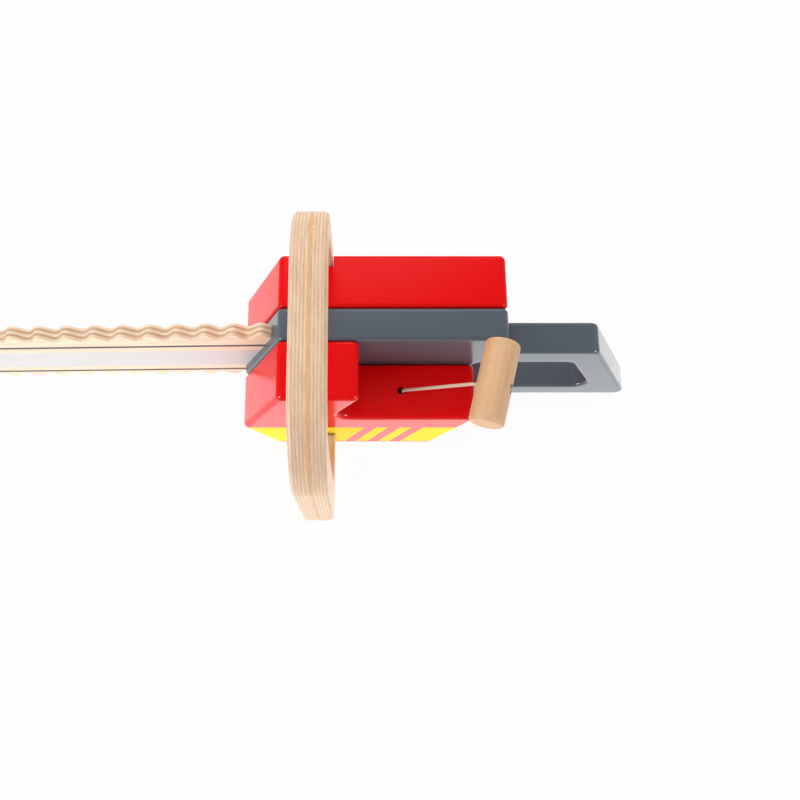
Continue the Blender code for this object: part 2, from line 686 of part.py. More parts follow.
def starter_reel(parts, cutters, surface):
    bore = AXLE_RADIUS + GAP
    reel = turned("starter_reel", [
        (bore, REEL_TOP), (ARBOR_RADIUS, REEL_TOP), (ARBOR_RADIUS, GROOVE_TOP), (DRUM_RADIUS, GROOVE_TOP),
        (DRUM_RADIUS, GROOVE_BOTTOM), (FLANGE_RADIUS, GROOVE_BOTTOM), (FLANGE_RADIUS, FLANGE_BOTTOM),
        (ARBOR_RADIUS, FLANGE_BOTTOM), (ARBOR_RADIUS, REEL_BOTTOM), (bore, REEL_BOTTOM),
    ], 36, along_y(REEL_X, REEL_HEIGHT), parts)
    teeth = []
    for index in range(2 * RATCHET_TEETH):
        angle = math.pi * index / RATCHET_TEETH
        radius = RATCHET_RADIUS - TOOTH_DEPTH * (index % 2)
        teeth.append(Vector((radius * math.cos(angle), radius * math.sin(angle))))
    inner = [Vector((math.cos(angle), math.sin(angle))) * (bore + ARBOR_RADIUS) / 2
             for angle in (math.pi * index / 12 for index in range(24))]
    middle = (GROOVE_TOP + RATCHET_TOP) / 2
    ring_place = Matrix.Translation((REEL_X, middle, REEL_HEIGHT)) @ SIDE_VIEW
    ring = outline_solid("ratchet_ring", [teeth, inner], RATCHET_TOP - GROOVE_TOP, ring_place, cutters)
    cut(reel, ring, "UNION")
    return finish_part(reel, surface)


def reel_axle(parts, surface):
    axle = rod("reel_axle", AXLE_RADIUS, POCKET_FLOOR - AXLE_BITE + GAP, COVER_TOP,
               along_y(REEL_X, REEL_HEIGHT), parts, edge=0.0004, steps=20)
    return finish_part(axle, surface)


def return_spring(parts, surface):
    """Flat spiral strip between the reel's arbor and the cup's wall."""
    first = ARBOR_RADIUS + GAP + SPRING_THICKNESS / 2
    last = CUP_INNER_RADIUS - GAP - SPRING_THICKNESS / 2
    low = CUP_BOTTOM + GAP
    high = COVER_BOTTOM - RUNNING_CLEARANCE
    curve = bpy.data.curves.new("return_spring", "CURVE")
    curve.dimensions = "3D"
    curve.extrude = (high - low) / 2
    steps = SPRING_TURNS * 20
    spline = curve.splines.new("POLY")
    spline.points.add(steps)
    for index, point in enumerate(spline.points):
        share = index / steps
        angle = 2 * math.pi * SPRING_TURNS * share
        radius = first + (last - first) * share
        point.co = (radius * math.cos(angle), radius * math.sin(angle), 0.0, 1.0)
    spiral_place = Matrix.Translation((REEL_X, (low + high) / 2, REEL_HEIGHT)) @ SIDE_VIEW
    drawing = place(bpy.data.objects.new("spiral_line", curve), parts, spiral_place)
    spring = mesh_from_curve("return_spring", drawing, parts)
    strip = spring.modifiers.new("strip", "SOLIDIFY")
    strip.thickness = SPRING_THICKNESS
    strip.offset = 0.0
    return finish_part(spring, surface)


def reed_box(name, margin, group):
    """Clicker reed lying under the ratchet, or with a margin the slot in which its root sits."""
    bpy.ops.mesh.primitive_cube_add(size=1)
    box = place(bpy.context.object, group)
    box.name = name
    top = REEL_HEIGHT - RATCHET_RADIUS - GAP
    box.scale = (REED_LENGTH + 2 * margin, REED_WIDTH + 2 * margin, REED_THICKNESS + 2 * margin)
    box.location = (REEL_X + REED_LENGTH / 2, (GROOVE_TOP + RATCHET_TOP) / 2, top - REED_THICKNESS / 2)
    return box


def cover_screw_places():
    places = []
    for angle in (math.radians(90), math.radians(210), math.radians(330)):
        x = REEL_X + SCREW_CIRCLE * math.cos(angle)
        z = REEL_HEIGHT + SCREW_CIRCLE * math.sin(angle)
        places.append(along_y(x, z))
    return places


def reel_cover(parts, cutters, surface):
    bore = AXLE_RADIUS + GAP
    cup_outer = CUP_INNER_RADIUS + CUP_WALL
    cover = turned("reel_cover", [
        (bore, COVER_TOP), (COVER_RADIUS, COVER_TOP), (COVER_RADIUS, COVER_BOTTOM),
        (cup_outer, COVER_BOTTOM), (cup_outer, CUP_BOTTOM), (CUP_INNER_RADIUS, CUP_BOTTOM),
        (CUP_INNER_RADIUS, COVER_BOTTOM), (bore, COVER_BOTTOM),
    ], 48, along_y(REEL_X, REEL_HEIGHT), parts)
    for number, where in enumerate(cover_screw_places(), 1):
        sink = turned(f"screw_sink_{number}", screw_profile(GAP), 16, where, cutters)
        cut(cover, sink)
    return finish_part(cover, surface)


def screw_profile(margin):
    """Countersunk screw, or with a margin the hole that it fits."""
    top = COVER_TOP + (2 * margin if margin else -GAP)
    head = COVER_TOP - GAP
    head_radius = SCREW_HEAD_RADIUS + margin
    shank = SCREW_RADIUS + margin
    neck = head - (head_radius - shank)
    tip = COVER_TOP - SCREW_LENGTH
    profile = [(0, top), (head_radius, top)]
    if margin:
        profile.append((head_radius, head))
    return profile + [(shank, neck), (shank, tip + shank), (0, tip)]


def cover_screws(parts, cutters, surface):
    for number, where in enumerate(cover_screw_places(), 1):
        screw = turned(f"cover_screw_{number}", screw_profile(0.0), 16, where, parts)
        bpy.ops.mesh.primitive_cube_add(size=1)
        slot = place(bpy.context.object, cutters)
        slot.name = f"screw_slot_{number}"
        slot.scale = (2.2 * SCREW_HEAD_RADIUS, SCREW_RADIUS, SCREW_RADIUS / 2)
        slot.location = where @ Vector((0.0, 0.0, COVER_TOP - GAP))
        cut(screw, slot)
        finish_part(screw, surface)


def stored_cord(parts, surface):
    bpy.ops.mesh.primitive_torus_add(major_radius=REEL_CORD_RADIUS, minor_radius=CORD_RADIUS,
                                     major_segments=40, minor_segments=8)
    ring = place(bpy.context.object, parts,
                 Matrix.Translation((REEL_X, STORED_CORD_Y, REEL_HEIGHT)) @ ALONG_Y)
    ring.name = "cord_on_reel"
    ring.data.shade_smooth()
    return finish_part(ring, surface)


# ---------------------------------------------------------------- cord and toggle

def pull_route():
    """Taut cord from the hole to the toggle: straight along the pull, then bent into the bore's line."""
    bend_start = CORD_CORNER + (CORD_START - CORD_CORNER).normalized() * CORD_BEND
    points = [CORD_START.lerp(bend_start, number / CORD_STEPS) for number in range(CORD_STEPS)]
    for number in range(BEND_STEPS + 1):
        share = number / BEND_STEPS
        points.append(bend_start.lerp(CORD_CORNER, share).lerp(CORD_CORNER.lerp(CORD_END, share), share))
    return points


def cords(parts, surface):
    finish_part(cord_tube("starter_cord", pull_route(), parts), surface)
    top = Vector((CORD_START.x, CORD_START.y, STEP_HEIGHT - GAP))
    off_the_reel = Vector((CORD_HOLE_X, CORD_HOLE_Y, REEL_HEIGHT))
    run = [top.lerp(off_the_reel, share) for share in (0.0, 0.25, 0.5, 0.75, 1.0)]
    finish_part(cord_tube("cord_run_inside", run, parts), surface)


def toggle_frame():
    """Empty at the end of the pulled-out cord, on the upright axis about which the toggle swings."""
    frame = bpy.data.objects.new("toggle_axis", None)
    frame.empty_display_size = TOGGLE_RADIUS
    return frame


def toggle_place(across=False):
    """Toggle's place from its axis: its own Z lies lengthwise or, across, along the bore to the knot."""
    if across:
        turn = (Matrix.Rotation(TOGGLE_HEADING - math.radians(90), 4, "Z")
                @ Matrix.Rotation(math.radians(90) - TOGGLE_BORE_TILT, 4, "Y"))
    else:
        turn = Matrix.Rotation(TOGGLE_HEADING, 4, "Z") @ Matrix.Rotation(math.radians(90), 4, "Y")
    return Matrix.Translation(TOGGLE_CENTRE - CORD_END) @ turn


def pull_toggle(frame, parts, cutters, surface):
    arc = [(math.cos(angle), math.sin(angle)) for angle in (math.radians(30 * step) for step in (3, 2, 1, 0))]
    core = TOGGLE_RADIUS - TOGGLE_ROUNDING
    top = TOGGLE_LENGTH / 2 + TOGGLE_BORE_OFFSET
    upper = [(core + TOGGLE_ROUNDING * c, top - TOGGLE_ROUNDING * (1 - s)) for c, s in arc]
    lower = [(radius, 2 * TOGGLE_BORE_OFFSET - height) for radius, height in reversed(upper)]
    toggle = turned("pull_toggle", [(0, top), *upper, *lower, (0, top - TOGGLE_LENGTH)], 32,
                    toggle_place(), parts)
    toggle.parent = frame
    bore = TOGGLE_BORE_DIAMETER / 2
    recess = KNOT_RECESS_DIAMETER / 2
    floor = TOGGLE_RADIUS - KNOT_RECESS_DEPTH
    profile = [(0, TOGGLE_DIAMETER), (recess, TOGGLE_DIAMETER), (recess, floor), (bore, floor),
               (bore, -TOGGLE_DIAMETER), (0, -TOGGLE_DIAMETER)]
    hole = turned("toggle_bore", profile, 16, toggle_place(across=True), cutters)
    hole.parent = frame
    cut(toggle, hole)
    return finish_part(toggle, surface)


def cord_knot(frame, parts, surface):
    """Cord through the toggle's bore, with the knot that stops it in its recess."""
    seat = TOGGLE_BORE_DIAMETER / 2
    centre = TOGGLE_RADIUS - KNOT_RECESS_DEPTH + math.sqrt((KNOT_RADIUS + GAP) ** 2 - seat ** 2)
    neck = math.acos(CORD_RADIUS / KNOT_RADIUS)
    ball = []
    count = 8
    for number in range(count + 1):
        angle = math.pi / 2 - (math.pi / 2 + neck) * number / count
        ball.append((KNOT_RADIUS * math.cos(angle), centre + KNOT_RADIUS * math.sin(angle)))
    ball[0] = (0, centre + KNOT_RADIUS)
    start = -(TOGGLE_RADIUS + CORD_TAIL - GAP)
    knot = turned("cord_knot", [*ball, (CORD_RADIUS, start), (0, start)], 16, toggle_place(across=True), parts)
    knot.parent = frame
    return finish_part(knot, surface)


# ---------------------------------------------------------------- assembly

def build():
    clear_scene()
    parts = make_collection("wooden_toy_chainsaw")
    cutters = make_collection("cutters")
    red = material("red_paint", (0.80, 0.02, 0.02), 0.35)
    grey = material("grey_paint", (0.13, 0.15, 0.19), 0.45)
    plywood = material("birch_plywood", (0.80, 0.62, 0.40), 0.55)
    beech = material("beech", (0.72, 0.46, 0.28), 0.50)
    cord = material("cotton_cord", (0.82, 0.72, 0.58), 0.85)
    plastic = material("nylon", (0.10, 0.10, 0.11), 0.50)
    steel = material("spring_steel", (0.55, 0.56, 0.58), 0.30, 1.0)

    right = right_side_block(parts, cutters, red)
    left = left_side_block(parts, cutters, red)
    centre = centre_body(parts, cutters, grey)
    blade = saw_blade(parts, plywood)
    handle = front_handle(parts, plywood)
    solids = {"right_side_block": right, "left_side_block": left, "centre_body": centre, "saw_blade": blade}
    across_dowels(solids, parts, cutters, beech)
    handle_dowels(left, right, handle, parts, cutters, beech)

    starter_reel(parts, cutters, plastic)
    reel_axle(parts, steel)
    return_spring(parts, steel)
    finish_part(reed_box("clicker_reed", 0.0, parts), steel)
    reel_cover(parts, cutters, plastic)
    cover_screws(parts, cutters, steel)
    stored_cord(parts, cord)
    cords(parts, cord)

    frame = place(toggle_frame(), parts)
    pull_toggle(frame, parts, cutters, beech)
    cord_knot(frame, parts, cord)
    frame.location = CORD_END


build()
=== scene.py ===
"""Looks of the wooden toy chainsaw.

Painted layers with soft rims, a plywood blade whose waves lean across its edge, a plywood hoop handle, a
turned beech toggle on a twisted cord, and plain studio light. Metres, in the frame of the CAD model: +X
towards the rear handle, +Y towards the user's right, +Z up.
"""

import json
import math

import bmesh
import bpy
from mathutils import Matrix, Vector

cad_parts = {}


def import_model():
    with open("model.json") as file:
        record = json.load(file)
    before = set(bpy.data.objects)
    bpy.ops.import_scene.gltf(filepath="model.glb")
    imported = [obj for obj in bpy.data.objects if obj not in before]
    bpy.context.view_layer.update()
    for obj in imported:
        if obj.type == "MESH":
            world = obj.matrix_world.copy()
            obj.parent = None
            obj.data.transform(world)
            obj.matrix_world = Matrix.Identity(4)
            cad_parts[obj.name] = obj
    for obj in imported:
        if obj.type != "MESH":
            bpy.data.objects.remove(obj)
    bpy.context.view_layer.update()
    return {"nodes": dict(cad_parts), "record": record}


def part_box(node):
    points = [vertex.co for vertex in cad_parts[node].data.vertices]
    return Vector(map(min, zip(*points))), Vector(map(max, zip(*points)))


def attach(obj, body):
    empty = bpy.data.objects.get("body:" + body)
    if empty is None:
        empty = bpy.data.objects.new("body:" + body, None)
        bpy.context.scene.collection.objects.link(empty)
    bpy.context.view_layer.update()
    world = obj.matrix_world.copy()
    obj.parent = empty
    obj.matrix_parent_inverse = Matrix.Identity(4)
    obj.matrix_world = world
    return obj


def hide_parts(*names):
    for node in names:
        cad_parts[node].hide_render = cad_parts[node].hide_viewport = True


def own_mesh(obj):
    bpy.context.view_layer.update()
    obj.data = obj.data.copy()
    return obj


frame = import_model()

GAP = 0.0003

# Body, as in the CAD model
BODY_HEIGHT = 0.095
BOTTOM_FRONT, BOTTOM_REAR = -0.0439, 0.0439
TOP_FRONT, TOP_REAR = -0.0359, 0.0752
NOSE, NOSE_HEIGHT = -0.0586, 0.0375
BODY_CORNER = 0.0034
OUTER_ROUNDING = 0.0029
SEAM_ROUNDING = 0.0020
STEP_HEIGHT = 0.058
UNDERCUT_TOP = 0.0037
UNDERCUT_SLOPE = math.tan(math.radians(21.5))
STEP_FILLET = 0.007
CHANNEL_OVERRUN, POCKET_OVERRUN = 0.01, 0.001   # of the cutters, past the faces that they open
CORD_LIP = 0.0002                               # chamfer of the cord hole
HOLE_INTO_POCKET = 0.006                        # below the top of the reel

# Rear D-handle
GRIP_TOP, GRIP_BAR, GRIP_LOWER_BAR = 0.0755, 0.0167, 0.015
GRIP_END, GRIP_SLOPE, GRIP_REAR_WIDTH = 0.1575, 0.478, 0.0172
GRIP_OUTER_RADIUS, GRIP_INNER_RADIUS, GRIP_STEP_FILLET = 0.0045, 0.007, 0.004
GRIP_ROUNDING = 0.0020

# Blade
BLADE_AXIS_HEIGHT = 0.0560
BLADE_DROOP = math.radians(2.35)
BLADE_WIDTH, BLADE_REACH, BLADE_THICKNESS = 0.063, 0.192, 0.0065
WAVE_PITCH, WAVE_FIRST_CREST = 0.0137, 0.0065
WAVE_POINTS = 20          # for each wave
WAVE_MARGIN = 0.0006      # between the last wave and the body
VALLEY_DEPTH, VALLEY_LEAN = 0.0056, 0.0016
EDGE_BREAK, EDGE_BREAK_POWER = 0.0004, 8   # softened rims; a higher power keeps more of the edge flat
BLADE_ROWS = 14           # across the thickness
TANG_LENGTH, TANG_WIDTH = 0.034, 0.042
BLADE_LINE_WIDTH = 0.0026
BLADE_UPPER_LINE, BLADE_LOWER_LINE = 0.0162, -0.0223
BLADE_BAND_TOP, BLADE_BAND_BOTTOM = 0.0089, -0.0154

# Front handle
PLATE_THICKNESS, PLATE_MIDDLE, PLATE_ROUNDING = 0.015, -0.0180, 0.0020
HOOP_TOP, HOOP_BAR, HOOP_LEFT = 0.1693, 0.0167, -0.0867
NEAR_LEG_WIDTH, FAR_LEG_WIDTH, ARM_HEIGHT = 0.0212, 0.0130, 0.0245
HOOP_RADIUS, HOOP_INNER_RADIUS = 0.041, 0.022
ARM_RADIUS, ARM_INNER_RADIUS = 0.0495, 0.024
LEG_BEND_RADIUS, TAB_RADIUS, TAB_END_HEIGHT = 0.030, 0.004, 0.035
LEG_LEAN = math.tan(math.radians(10.6))
ARM_END_FLAT = 0.003      # of the arm's end, where the rims run out
CHANNEL_DEPTH, CHANNEL_CLEARANCE = 0.0065, 0.0005

# Starter
POCKET_RADIUS, COVER_RADIUS, COVER_THICKNESS = 0.0175, 0.0227, 0.0020
CORD_HOLE_X, CORD_HOLE_INSET, CORD_HOLE_DIAMETER = 0.0242, 0.015, 0.0043
CORD_DIAMETER = 0.0016
TOGGLE_CENTRE = Vector((0.0629, -0.0339, 0.107))
TOGGLE_HEADING, BORE_TILT = math.radians(75.8), math.radians(20)
TOGGLE_DIAMETER, TOGGLE_LENGTH = 0.0162, 0.0394
TOGGLE_ROUNDING, TOGGLE_BORE, TOGGLE_BORE_OFFSET = 0.0018, 0.0026, 0.0019
RECESS_DIAMETER, RECESS_DEPTH = 0.0052, 0.0044
RECESS_LIP, BORE_LIP = 0.0003, 0.0004
CORD_TAIL, CORD_BEND = 0.0008, 0.0013
CORD_STRANDS, CORD_LAY, STRAND_DEPTH = 2, 0.0042, 0.28   # lay: length of one turn; depth: share of the radius
PULL_STEPS, BEND_STEPS = 150, 10

# Overhand knot, as a curve in t from -KNOT_END to KNOT_END
KNOT_END, KNOT_STEPS, KNOT_LEAD_STEPS = 2.1, 96, 30
KNOT_HEIGHT, KNOT_SPREAD, KNOT_REACH = 0.0022, 0.00050, 0.000085
KNOT_FLATNESS, KNOT_SHIFT = 0.6, 0.4
KNOT_SPACING, KNOT_SMOOTHINGS = 0.00020, 3

LEFT_FACE, LEFT_SEAM = (corner.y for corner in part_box("left_side_block"))
RIGHT_SEAM, RIGHT_FACE = (corner.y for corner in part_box("right_side_block"))
CENTRE_LEFT, CENTRE_RIGHT = (corner.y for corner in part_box("centre_body"))
CENTRE_Y = (CENTRE_LEFT + CENTRE_RIGHT) / 2
CORD_HOLE_Y = LEFT_FACE + CORD_HOLE_INSET
CORD_PLAY = (CORD_HOLE_DIAMETER - CORD_DIAMETER) / 2 - GAP
CORD_LEAN = (TOGGLE_CENTRE.xy - Vector((CORD_HOLE_X, CORD_HOLE_Y))).normalized() * CORD_PLAY
CORD_START = Vector((CORD_HOLE_X + CORD_LEAN.x, CORD_HOLE_Y + CORD_LEAN.y, STEP_HEIGHT + CORD_DIAMETER / 2))
BORE_FRAME = (Matrix.Rotation(TOGGLE_HEADING - math.pi / 2, 4, "Z")
              @ Matrix.Rotation(math.pi / 2 - BORE_TILT, 4, "Y"))
BORE_DIRECTION = BORE_FRAME.to_3x3() @ Vector((0.0, 0.0, 1.0))
CORD_END = TOGGLE_CENTRE - BORE_DIRECTION * (TOGGLE_DIAMETER / 2 + CORD_TAIL)
CORD_CORNER = CORD_END - BORE_DIRECTION * CORD_BEND

SIDE_VIEW = Matrix(((1, 0, 0, 0), (0, 0, -1, 0), (0, 1, 0, 0), (0, 0, 0, 1)))
FRONT_VIEW = Matrix(((0, 0, 1, 0), (1, 0, 0, 0), (0, 1, 0, 0), (0, 0, 0, 1)))
ALONG_Y = Matrix.Rotation(math.radians(-90), 4, "X")

# Fineness of the meshes
ARC_STEP = math.radians(5)
NEARLY_STRAIGHT = 0.001   # radians
RIM_STEPS, TOGGLE_RIM_STEPS = 5, 8
POCKET_SIDES, HOLE_SIDES, TOGGLE_SIDES, CORD_SIDES = 64, 32, 72, 20
MERGE_DISTANCE = 0.000001
BISECTIONS = 40
SHARP_ANGLE, TOGGLE_SHARP_ANGLE, CORD_SHARP_ANGLE = math.radians(35), math.radians(40), math.radians(60)

# Camera
CAMERA_PLACE, CAMERA_TILT = (-0.0002, -0.1351, 0.4629), math.radians(14.96)
CAMERA_LENS, CAMERA_SENSOR, CAMERA_SHIFT = 37.0, 36.0, 0.0578

# Light, as (name, place, size, power, whether it only shows in reflections)
LAMPS = (("key", (-0.02, 0.62, 0.80), 0.6, 2.5, False),
         ("fill", (-0.30, -0.30, 0.45), 0.4, 0.6, False),
         ("left_lamp", (-0.75, -0.60, 0.42), 0.20, 20.0, True),
         ("right_lamp", (0.75, -0.60, 0.42), 0.20, 20.0, True))
LAMP_TARGET = (0.0, 0.0, 0.05)
BRIGHT_SIDE, SKY_DIM, SKY_BRIGHT, SKY_FULL = (-0.2, 0.30, 0.8), 0.30, 0.80, 0.9
ROOM_WALLS, CEILING, CEILING_FROM, CEILING_FULL = 1.0, 0.30, 0.50, 0.93
FLOOR_LEVEL, FLOOR_RADIUS, FLOOR_SIDES = -0.001, 6.0, 64
FLOOR_TONE, FLOOR_ROUGHNESS, FLOOR_GLOW = 0.86, 0.9, 0.96
GLOW_FADES, REFLECTED_GLOW = (-0.03, 0.07), (0.76, 0.36)
TABLE_SIZE, TABLE_GLOW = 1.2, 0.95


# ---------------------------------------------------------------- camera, light and stage

def camera():
    data = bpy.data.cameras.new("photo_camera")
    data.lens = CAMERA_LENS
    data.sensor_width = CAMERA_SENSOR
    data.shift_x = CAMERA_SHIFT
    data.clip_start = 0.01
    viewer = bpy.data.objects.new("photo_camera", data)
    viewer.location = CAMERA_PLACE
    viewer.rotation_euler.x = CAMERA_TILT
    bpy.context.collection.objects.link(viewer)
    bpy.context.scene.camera = viewer


def area_light(name, location, size, power, gloss_only):
    """Round lamp aimed at the body; with gloss_only it shows in reflections and lights nothing else."""
    data = bpy.data.lights.new(name, "AREA")
    data.shape = "DISK"
    data.size = size
    data.energy = power
    lamp = bpy.data.objects.new(name, data)
    lamp.location = location
    lamp.rotation_euler = (Vector(LAMP_TARGET) - Vector(location)).to_track_quat("-Z", "Y").to_euler()
    lamp.visible_diffuse = not gloss_only
    bpy.context.collection.objects.link(lamp)


def light_table():
    """Wide soft light from the white table on which the toy stands; it lies just above the floor."""
    data = bpy.data.lights.new("light_table", "AREA")
    data.shape = "SQUARE"
    data.size = TABLE_SIZE
    data.energy = TABLE_GLOW * math.pi * TABLE_SIZE**2
    lamp = bpy.data.objects.new("light_table", data)
    lamp.location.z = FLOOR_LEVEL / 2
    lamp.rotation_euler = (math.pi, 0.0, 0.0)
    lamp.visible_camera = False
    bpy.context.collection.objects.link(lamp)


def seen_directly(tree):
    """1 for camera, glossy and transmission rays, and 0 for the rays that light the object."""
    path = tree.nodes.new("ShaderNodeLightPath")
    either = maths(tree, "MAXIMUM", path.outputs["Is Camera Ray"], path.outputs["Is Glossy Ray"])
    return maths(tree, "MAXIMUM", either, path.outputs["Is Transmission Ray"])


def world():
    """Studio whose light is brightest overhead and a little to the far left.

    Reflections show a white room with a darker ceiling."""
    sky = bpy.data.worlds.new("studio")
    bpy.context.scene.world = sky
    sky.use_nodes = True
    tree = sky.node_tree
    direction = tree.nodes.new("ShaderNodeTexCoord").outputs["Generated"]
    upward = tree.nodes.new("ShaderNodeSeparateXYZ")
    feed(tree, upward.inputs[0], direction)
    room = ramp(tree, upward.outputs[2], [(CEILING_FROM, grey(ROOM_WALLS)), (CEILING_FULL, grey(CEILING))])
    facing = tree.nodes.new("ShaderNodeVectorMath")
    facing.operation = "DOT_PRODUCT"
    feed(tree, facing.inputs[0], direction)
    facing.inputs[1].default_value = Vector(BRIGHT_SIDE).normalized()
    light = ramp(tree, facing.outputs["Value"], [(0.0, grey(SKY_DIM)), (SKY_FULL, grey(SKY_BRIGHT))])
    feed(tree, tree.nodes["Background"].inputs["Color"], mix(tree, seen_directly(tree), light, room))


def stage():
    """Pale floor that shows nearly white and keeps a faint shadow; its reflection fades to the far side."""
    surface = bpy.data.materials.new("studio_white")
    surface.use_nodes = True
    tree = surface.node_tree
    shader = tree.nodes["Principled BSDF"]
    shader.inputs["Base Color"].default_value = (*grey(FLOOR_TONE), 1.0)
    shader.inputs["Roughness"].default_value = FLOOR_ROUGHNESS
    shader.inputs["Specular IOR Level"].default_value = 0.0
    glow = tree.nodes.new("ShaderNodeEmission")
    fading = tree.nodes.new("ShaderNodeMapRange")
    feed(tree, fading.inputs["Value"], axes(tree)[1])
    fading.inputs["From Min"].default_value, fading.inputs["From Max"].default_value = GLOW_FADES
    fading.inputs["To Min"].default_value, fading.inputs["To Max"].default_value = REFLECTED_GLOW
    watched = tree.nodes.new("ShaderNodeLightPath").outputs["Is Camera Ray"]
    feed(tree, glow.inputs["Strength"], maths(tree, "MAXIMUM", watched, fading.outputs[0]))
    blend = tree.nodes.new("ShaderNodeMixShader")
    share = maths(tree, "MULTIPLY", seen_directly(tree), FLOOR_GLOW)
    tree.links.new(share, blend.inputs[0])
    tree.links.new(shader.outputs[0], blend.inputs[1])
    tree.links.new(glow.outputs[0], blend.inputs[2])
    tree.links.new(blend.outputs[0], tree.nodes["Material Output"].inputs["Surface"])

    work = bmesh.new()
    bmesh.ops.create_circle(work, cap_ends=True, segments=FLOOR_SIDES, radius=FLOOR_RADIUS)
    mesh = bpy.data.meshes.new("floor")
    work.to_mesh(mesh)
    work.free()
    mesh.materials.append(surface)
    floor = bpy.data.objects.new("floor", mesh)
    floor.location.z = FLOOR_LEVEL
    bpy.context.collection.objects.link(floor)


# ---------------------------------------------------------------- shader helpers

def maths(tree, operation, first, second=None, third=None):
    node = tree.nodes.new("ShaderNodeMath")
    node.operation = operation
    for socket, value in zip(node.inputs, (first, second, third)):
        feed(tree, socket, value)
    return node.outputs[0]


def feed(tree, socket, value):
    if isinstance(value, bpy.types.NodeSocket):
        tree.links.new(value, socket)
    elif value is not None:
        socket.default_value = value


def mix(tree, share, first, second, blend="MIX"):
    node = tree.nodes.new("ShaderNodeMix")
    node.data_type = "RGBA"
    node.blend_type = blend
    feed(tree, node.inputs[0], share)
    feed(tree, node.inputs[6], first)
    feed(tree, node.inputs[7], second)
    return node.outputs[2]


def ramp(tree, share, stops):
    """Colour or grey ramp from (position, colour) stops."""
    node = tree.nodes.new("ShaderNodeValToRGB")
    elements = node.color_ramp.elements
    while len(elements) < len(stops):
        elements.new(1.0)
    for element, (position, colour) in zip(elements, stops):
        element.position = position
        element.color = (*colour, 1.0)
    feed(tree, node.inputs[0], share)
    return node.outputs[0]


def grey(value):
    return (value, value, value)


def noise(tree, stretch, detail, roughness=0.5, distortion=0.0):
    """Noise over the object's own coordinates, with stretch = repeats for each metre along X, Y and Z."""
    scaled = tree.nodes.new("ShaderNodeVectorMath")
    scaled.operation = "MULTIPLY"
    feed(tree, scaled.inputs[0], own_place(tree))
    scaled.inputs[1].default_value = stretch
    node = tree.nodes.new("ShaderNodeTexNoise")
    feed(tree, node.inputs["Vector"], scaled.outputs[0])
    node.inputs["Scale"].default_value = 1.0
    node.inputs["Detail"].default_value = detail
    node.inputs["Roughness"].default_value = roughness
    node.inputs["Distortion"].default_value = distortion
    return node.outputs[0]


def own_place(tree):
    node = tree.nodes.get("own_place")
    if node is None:
        node = tree.nodes.new("ShaderNodeTexCoord")
        node.name = "own_place"
    return node.outputs["Object"]


def axes(tree):
    """The object's own X, Y and Z as three numbers."""
    node = tree.nodes.new("ShaderNodeSeparateXYZ")
    feed(tree, node.inputs[0], own_place(tree))
    return node.outputs


def between(tree, value, low, high, soft):
    """1 where value lies between low and high, with soft edges."""
    slopes = []
    for edge in (low, high):
        slope = tree.nodes.new("ShaderNodeMapRange")
        feed(tree, slope.inputs["Value"], value)
        slope.inputs["From Min"].default_value = edge - soft / 2
        slope.inputs["From Max"].default_value = edge + soft / 2
        slopes.append(slope.outputs[0])
    return maths(tree, "SUBTRACT", *slopes)


def strip(tree, value, middle, width):
    """1 in a strip of a given width about the middle."""
    return between(tree, value, middle - width / 2, middle + width / 2, PRINT_SOFTNESS)


def bump(tree, height, distance):
    node = tree.nodes.new("ShaderNodeBump")
    node.inputs["Strength"].default_value = 1.0
    node.inputs["Distance"].default_value = distance
    feed(tree, node.inputs["Height"], height)
    feed(tree, tree.nodes["Principled BSDF"].inputs["Normal"], node.outputs[0])


def new_material(name, ior=1.45, metallic=0.0):
    surface = bpy.data.materials.new(name)
    surface.use_nodes = True
    shader = surface.node_tree.nodes["Principled BSDF"]
    shader.inputs["IOR"].default_value = ior
    shader.inputs["Metallic"].default_value = metallic
    return surface, surface.node_tree, shader


# ---------------------------------------------------------------- materials

RED = (0.93, 0.003, 0.004)
SLATE = (0.104, 0.134, 0.164)
YELLOW = (1.0, 0.88, 0.03)
SILVER = (0.72, 0.71, 0.71)
LINE_GREY = (0.05, 0.045, 0.04)
PALE, TAN, AMBER, CREAM = (0.94, 0.69, 0.48), (0.73, 0.49, 0.33), (0.80, 0.49, 0.27), (0.97, 0.80, 0.61)
TOGGLE_LIGHT, TOGGLE_DARK = (0.81, 0.51, 0.285), (0.73, 0.43, 0.23)
DOWEL_LIGHT, DOWEL_DARK = (0.80, 0.58, 0.38), (0.66, 0.44, 0.26)
PLY_FLECK, BEECH_FLECK = (0.30, 0.16, 0.08), (0.33, 0.15, 0.07)
FIBRE_TINTS = [(0.30, (0.84, 0.76, 0.66)), (0.50, (0.99, 0.97, 0.95)), (0.70, (1.07, 1.09, 1.10))]
COTTON_TONES = [(0.3, (0.55, 0.42, 0.32)), (0.6, (0.84, 0.69, 0.56))]
STEEL_TONES = [(0.3, (0.45, 0.45, 0.46)), (0.7, (0.62, 0.62, 0.63))]
NYLON_TONES = [(0.3, (0.012, 0.012, 0.012)), (0.7, (0.02, 0.02, 0.02))]
RED_IOR, SLATE_IOR, PLY_IOR, BEECH_IOR, COTTON_IOR, NYLON_IOR = 1.20, 1.34, 1.30, 1.33, 1.3, 1.5

# Roughness as (share of the pattern, lowest), and depth of the bumps
PAINT_ROUGHNESS, PAINT_BUMP = (0.10, 0.13), 0.00003
PLY_ROUGHNESS, PLY_BUMP = (0.15, 0.42), 0.00006
BEECH_ROUGHNESS, BEECH_BUMP = (0.15, 0.45), 0.00005
NYLON_ROUGHNESS, STEEL_ROUGHNESS, FINE_BUMP = (0.15, 0.42), (0.2, 0.22), 0.00002
COTTON_ROUGHNESS, COTTON_SHEEN, COTTON_BUMP = 0.9, 0.3, 0.00012

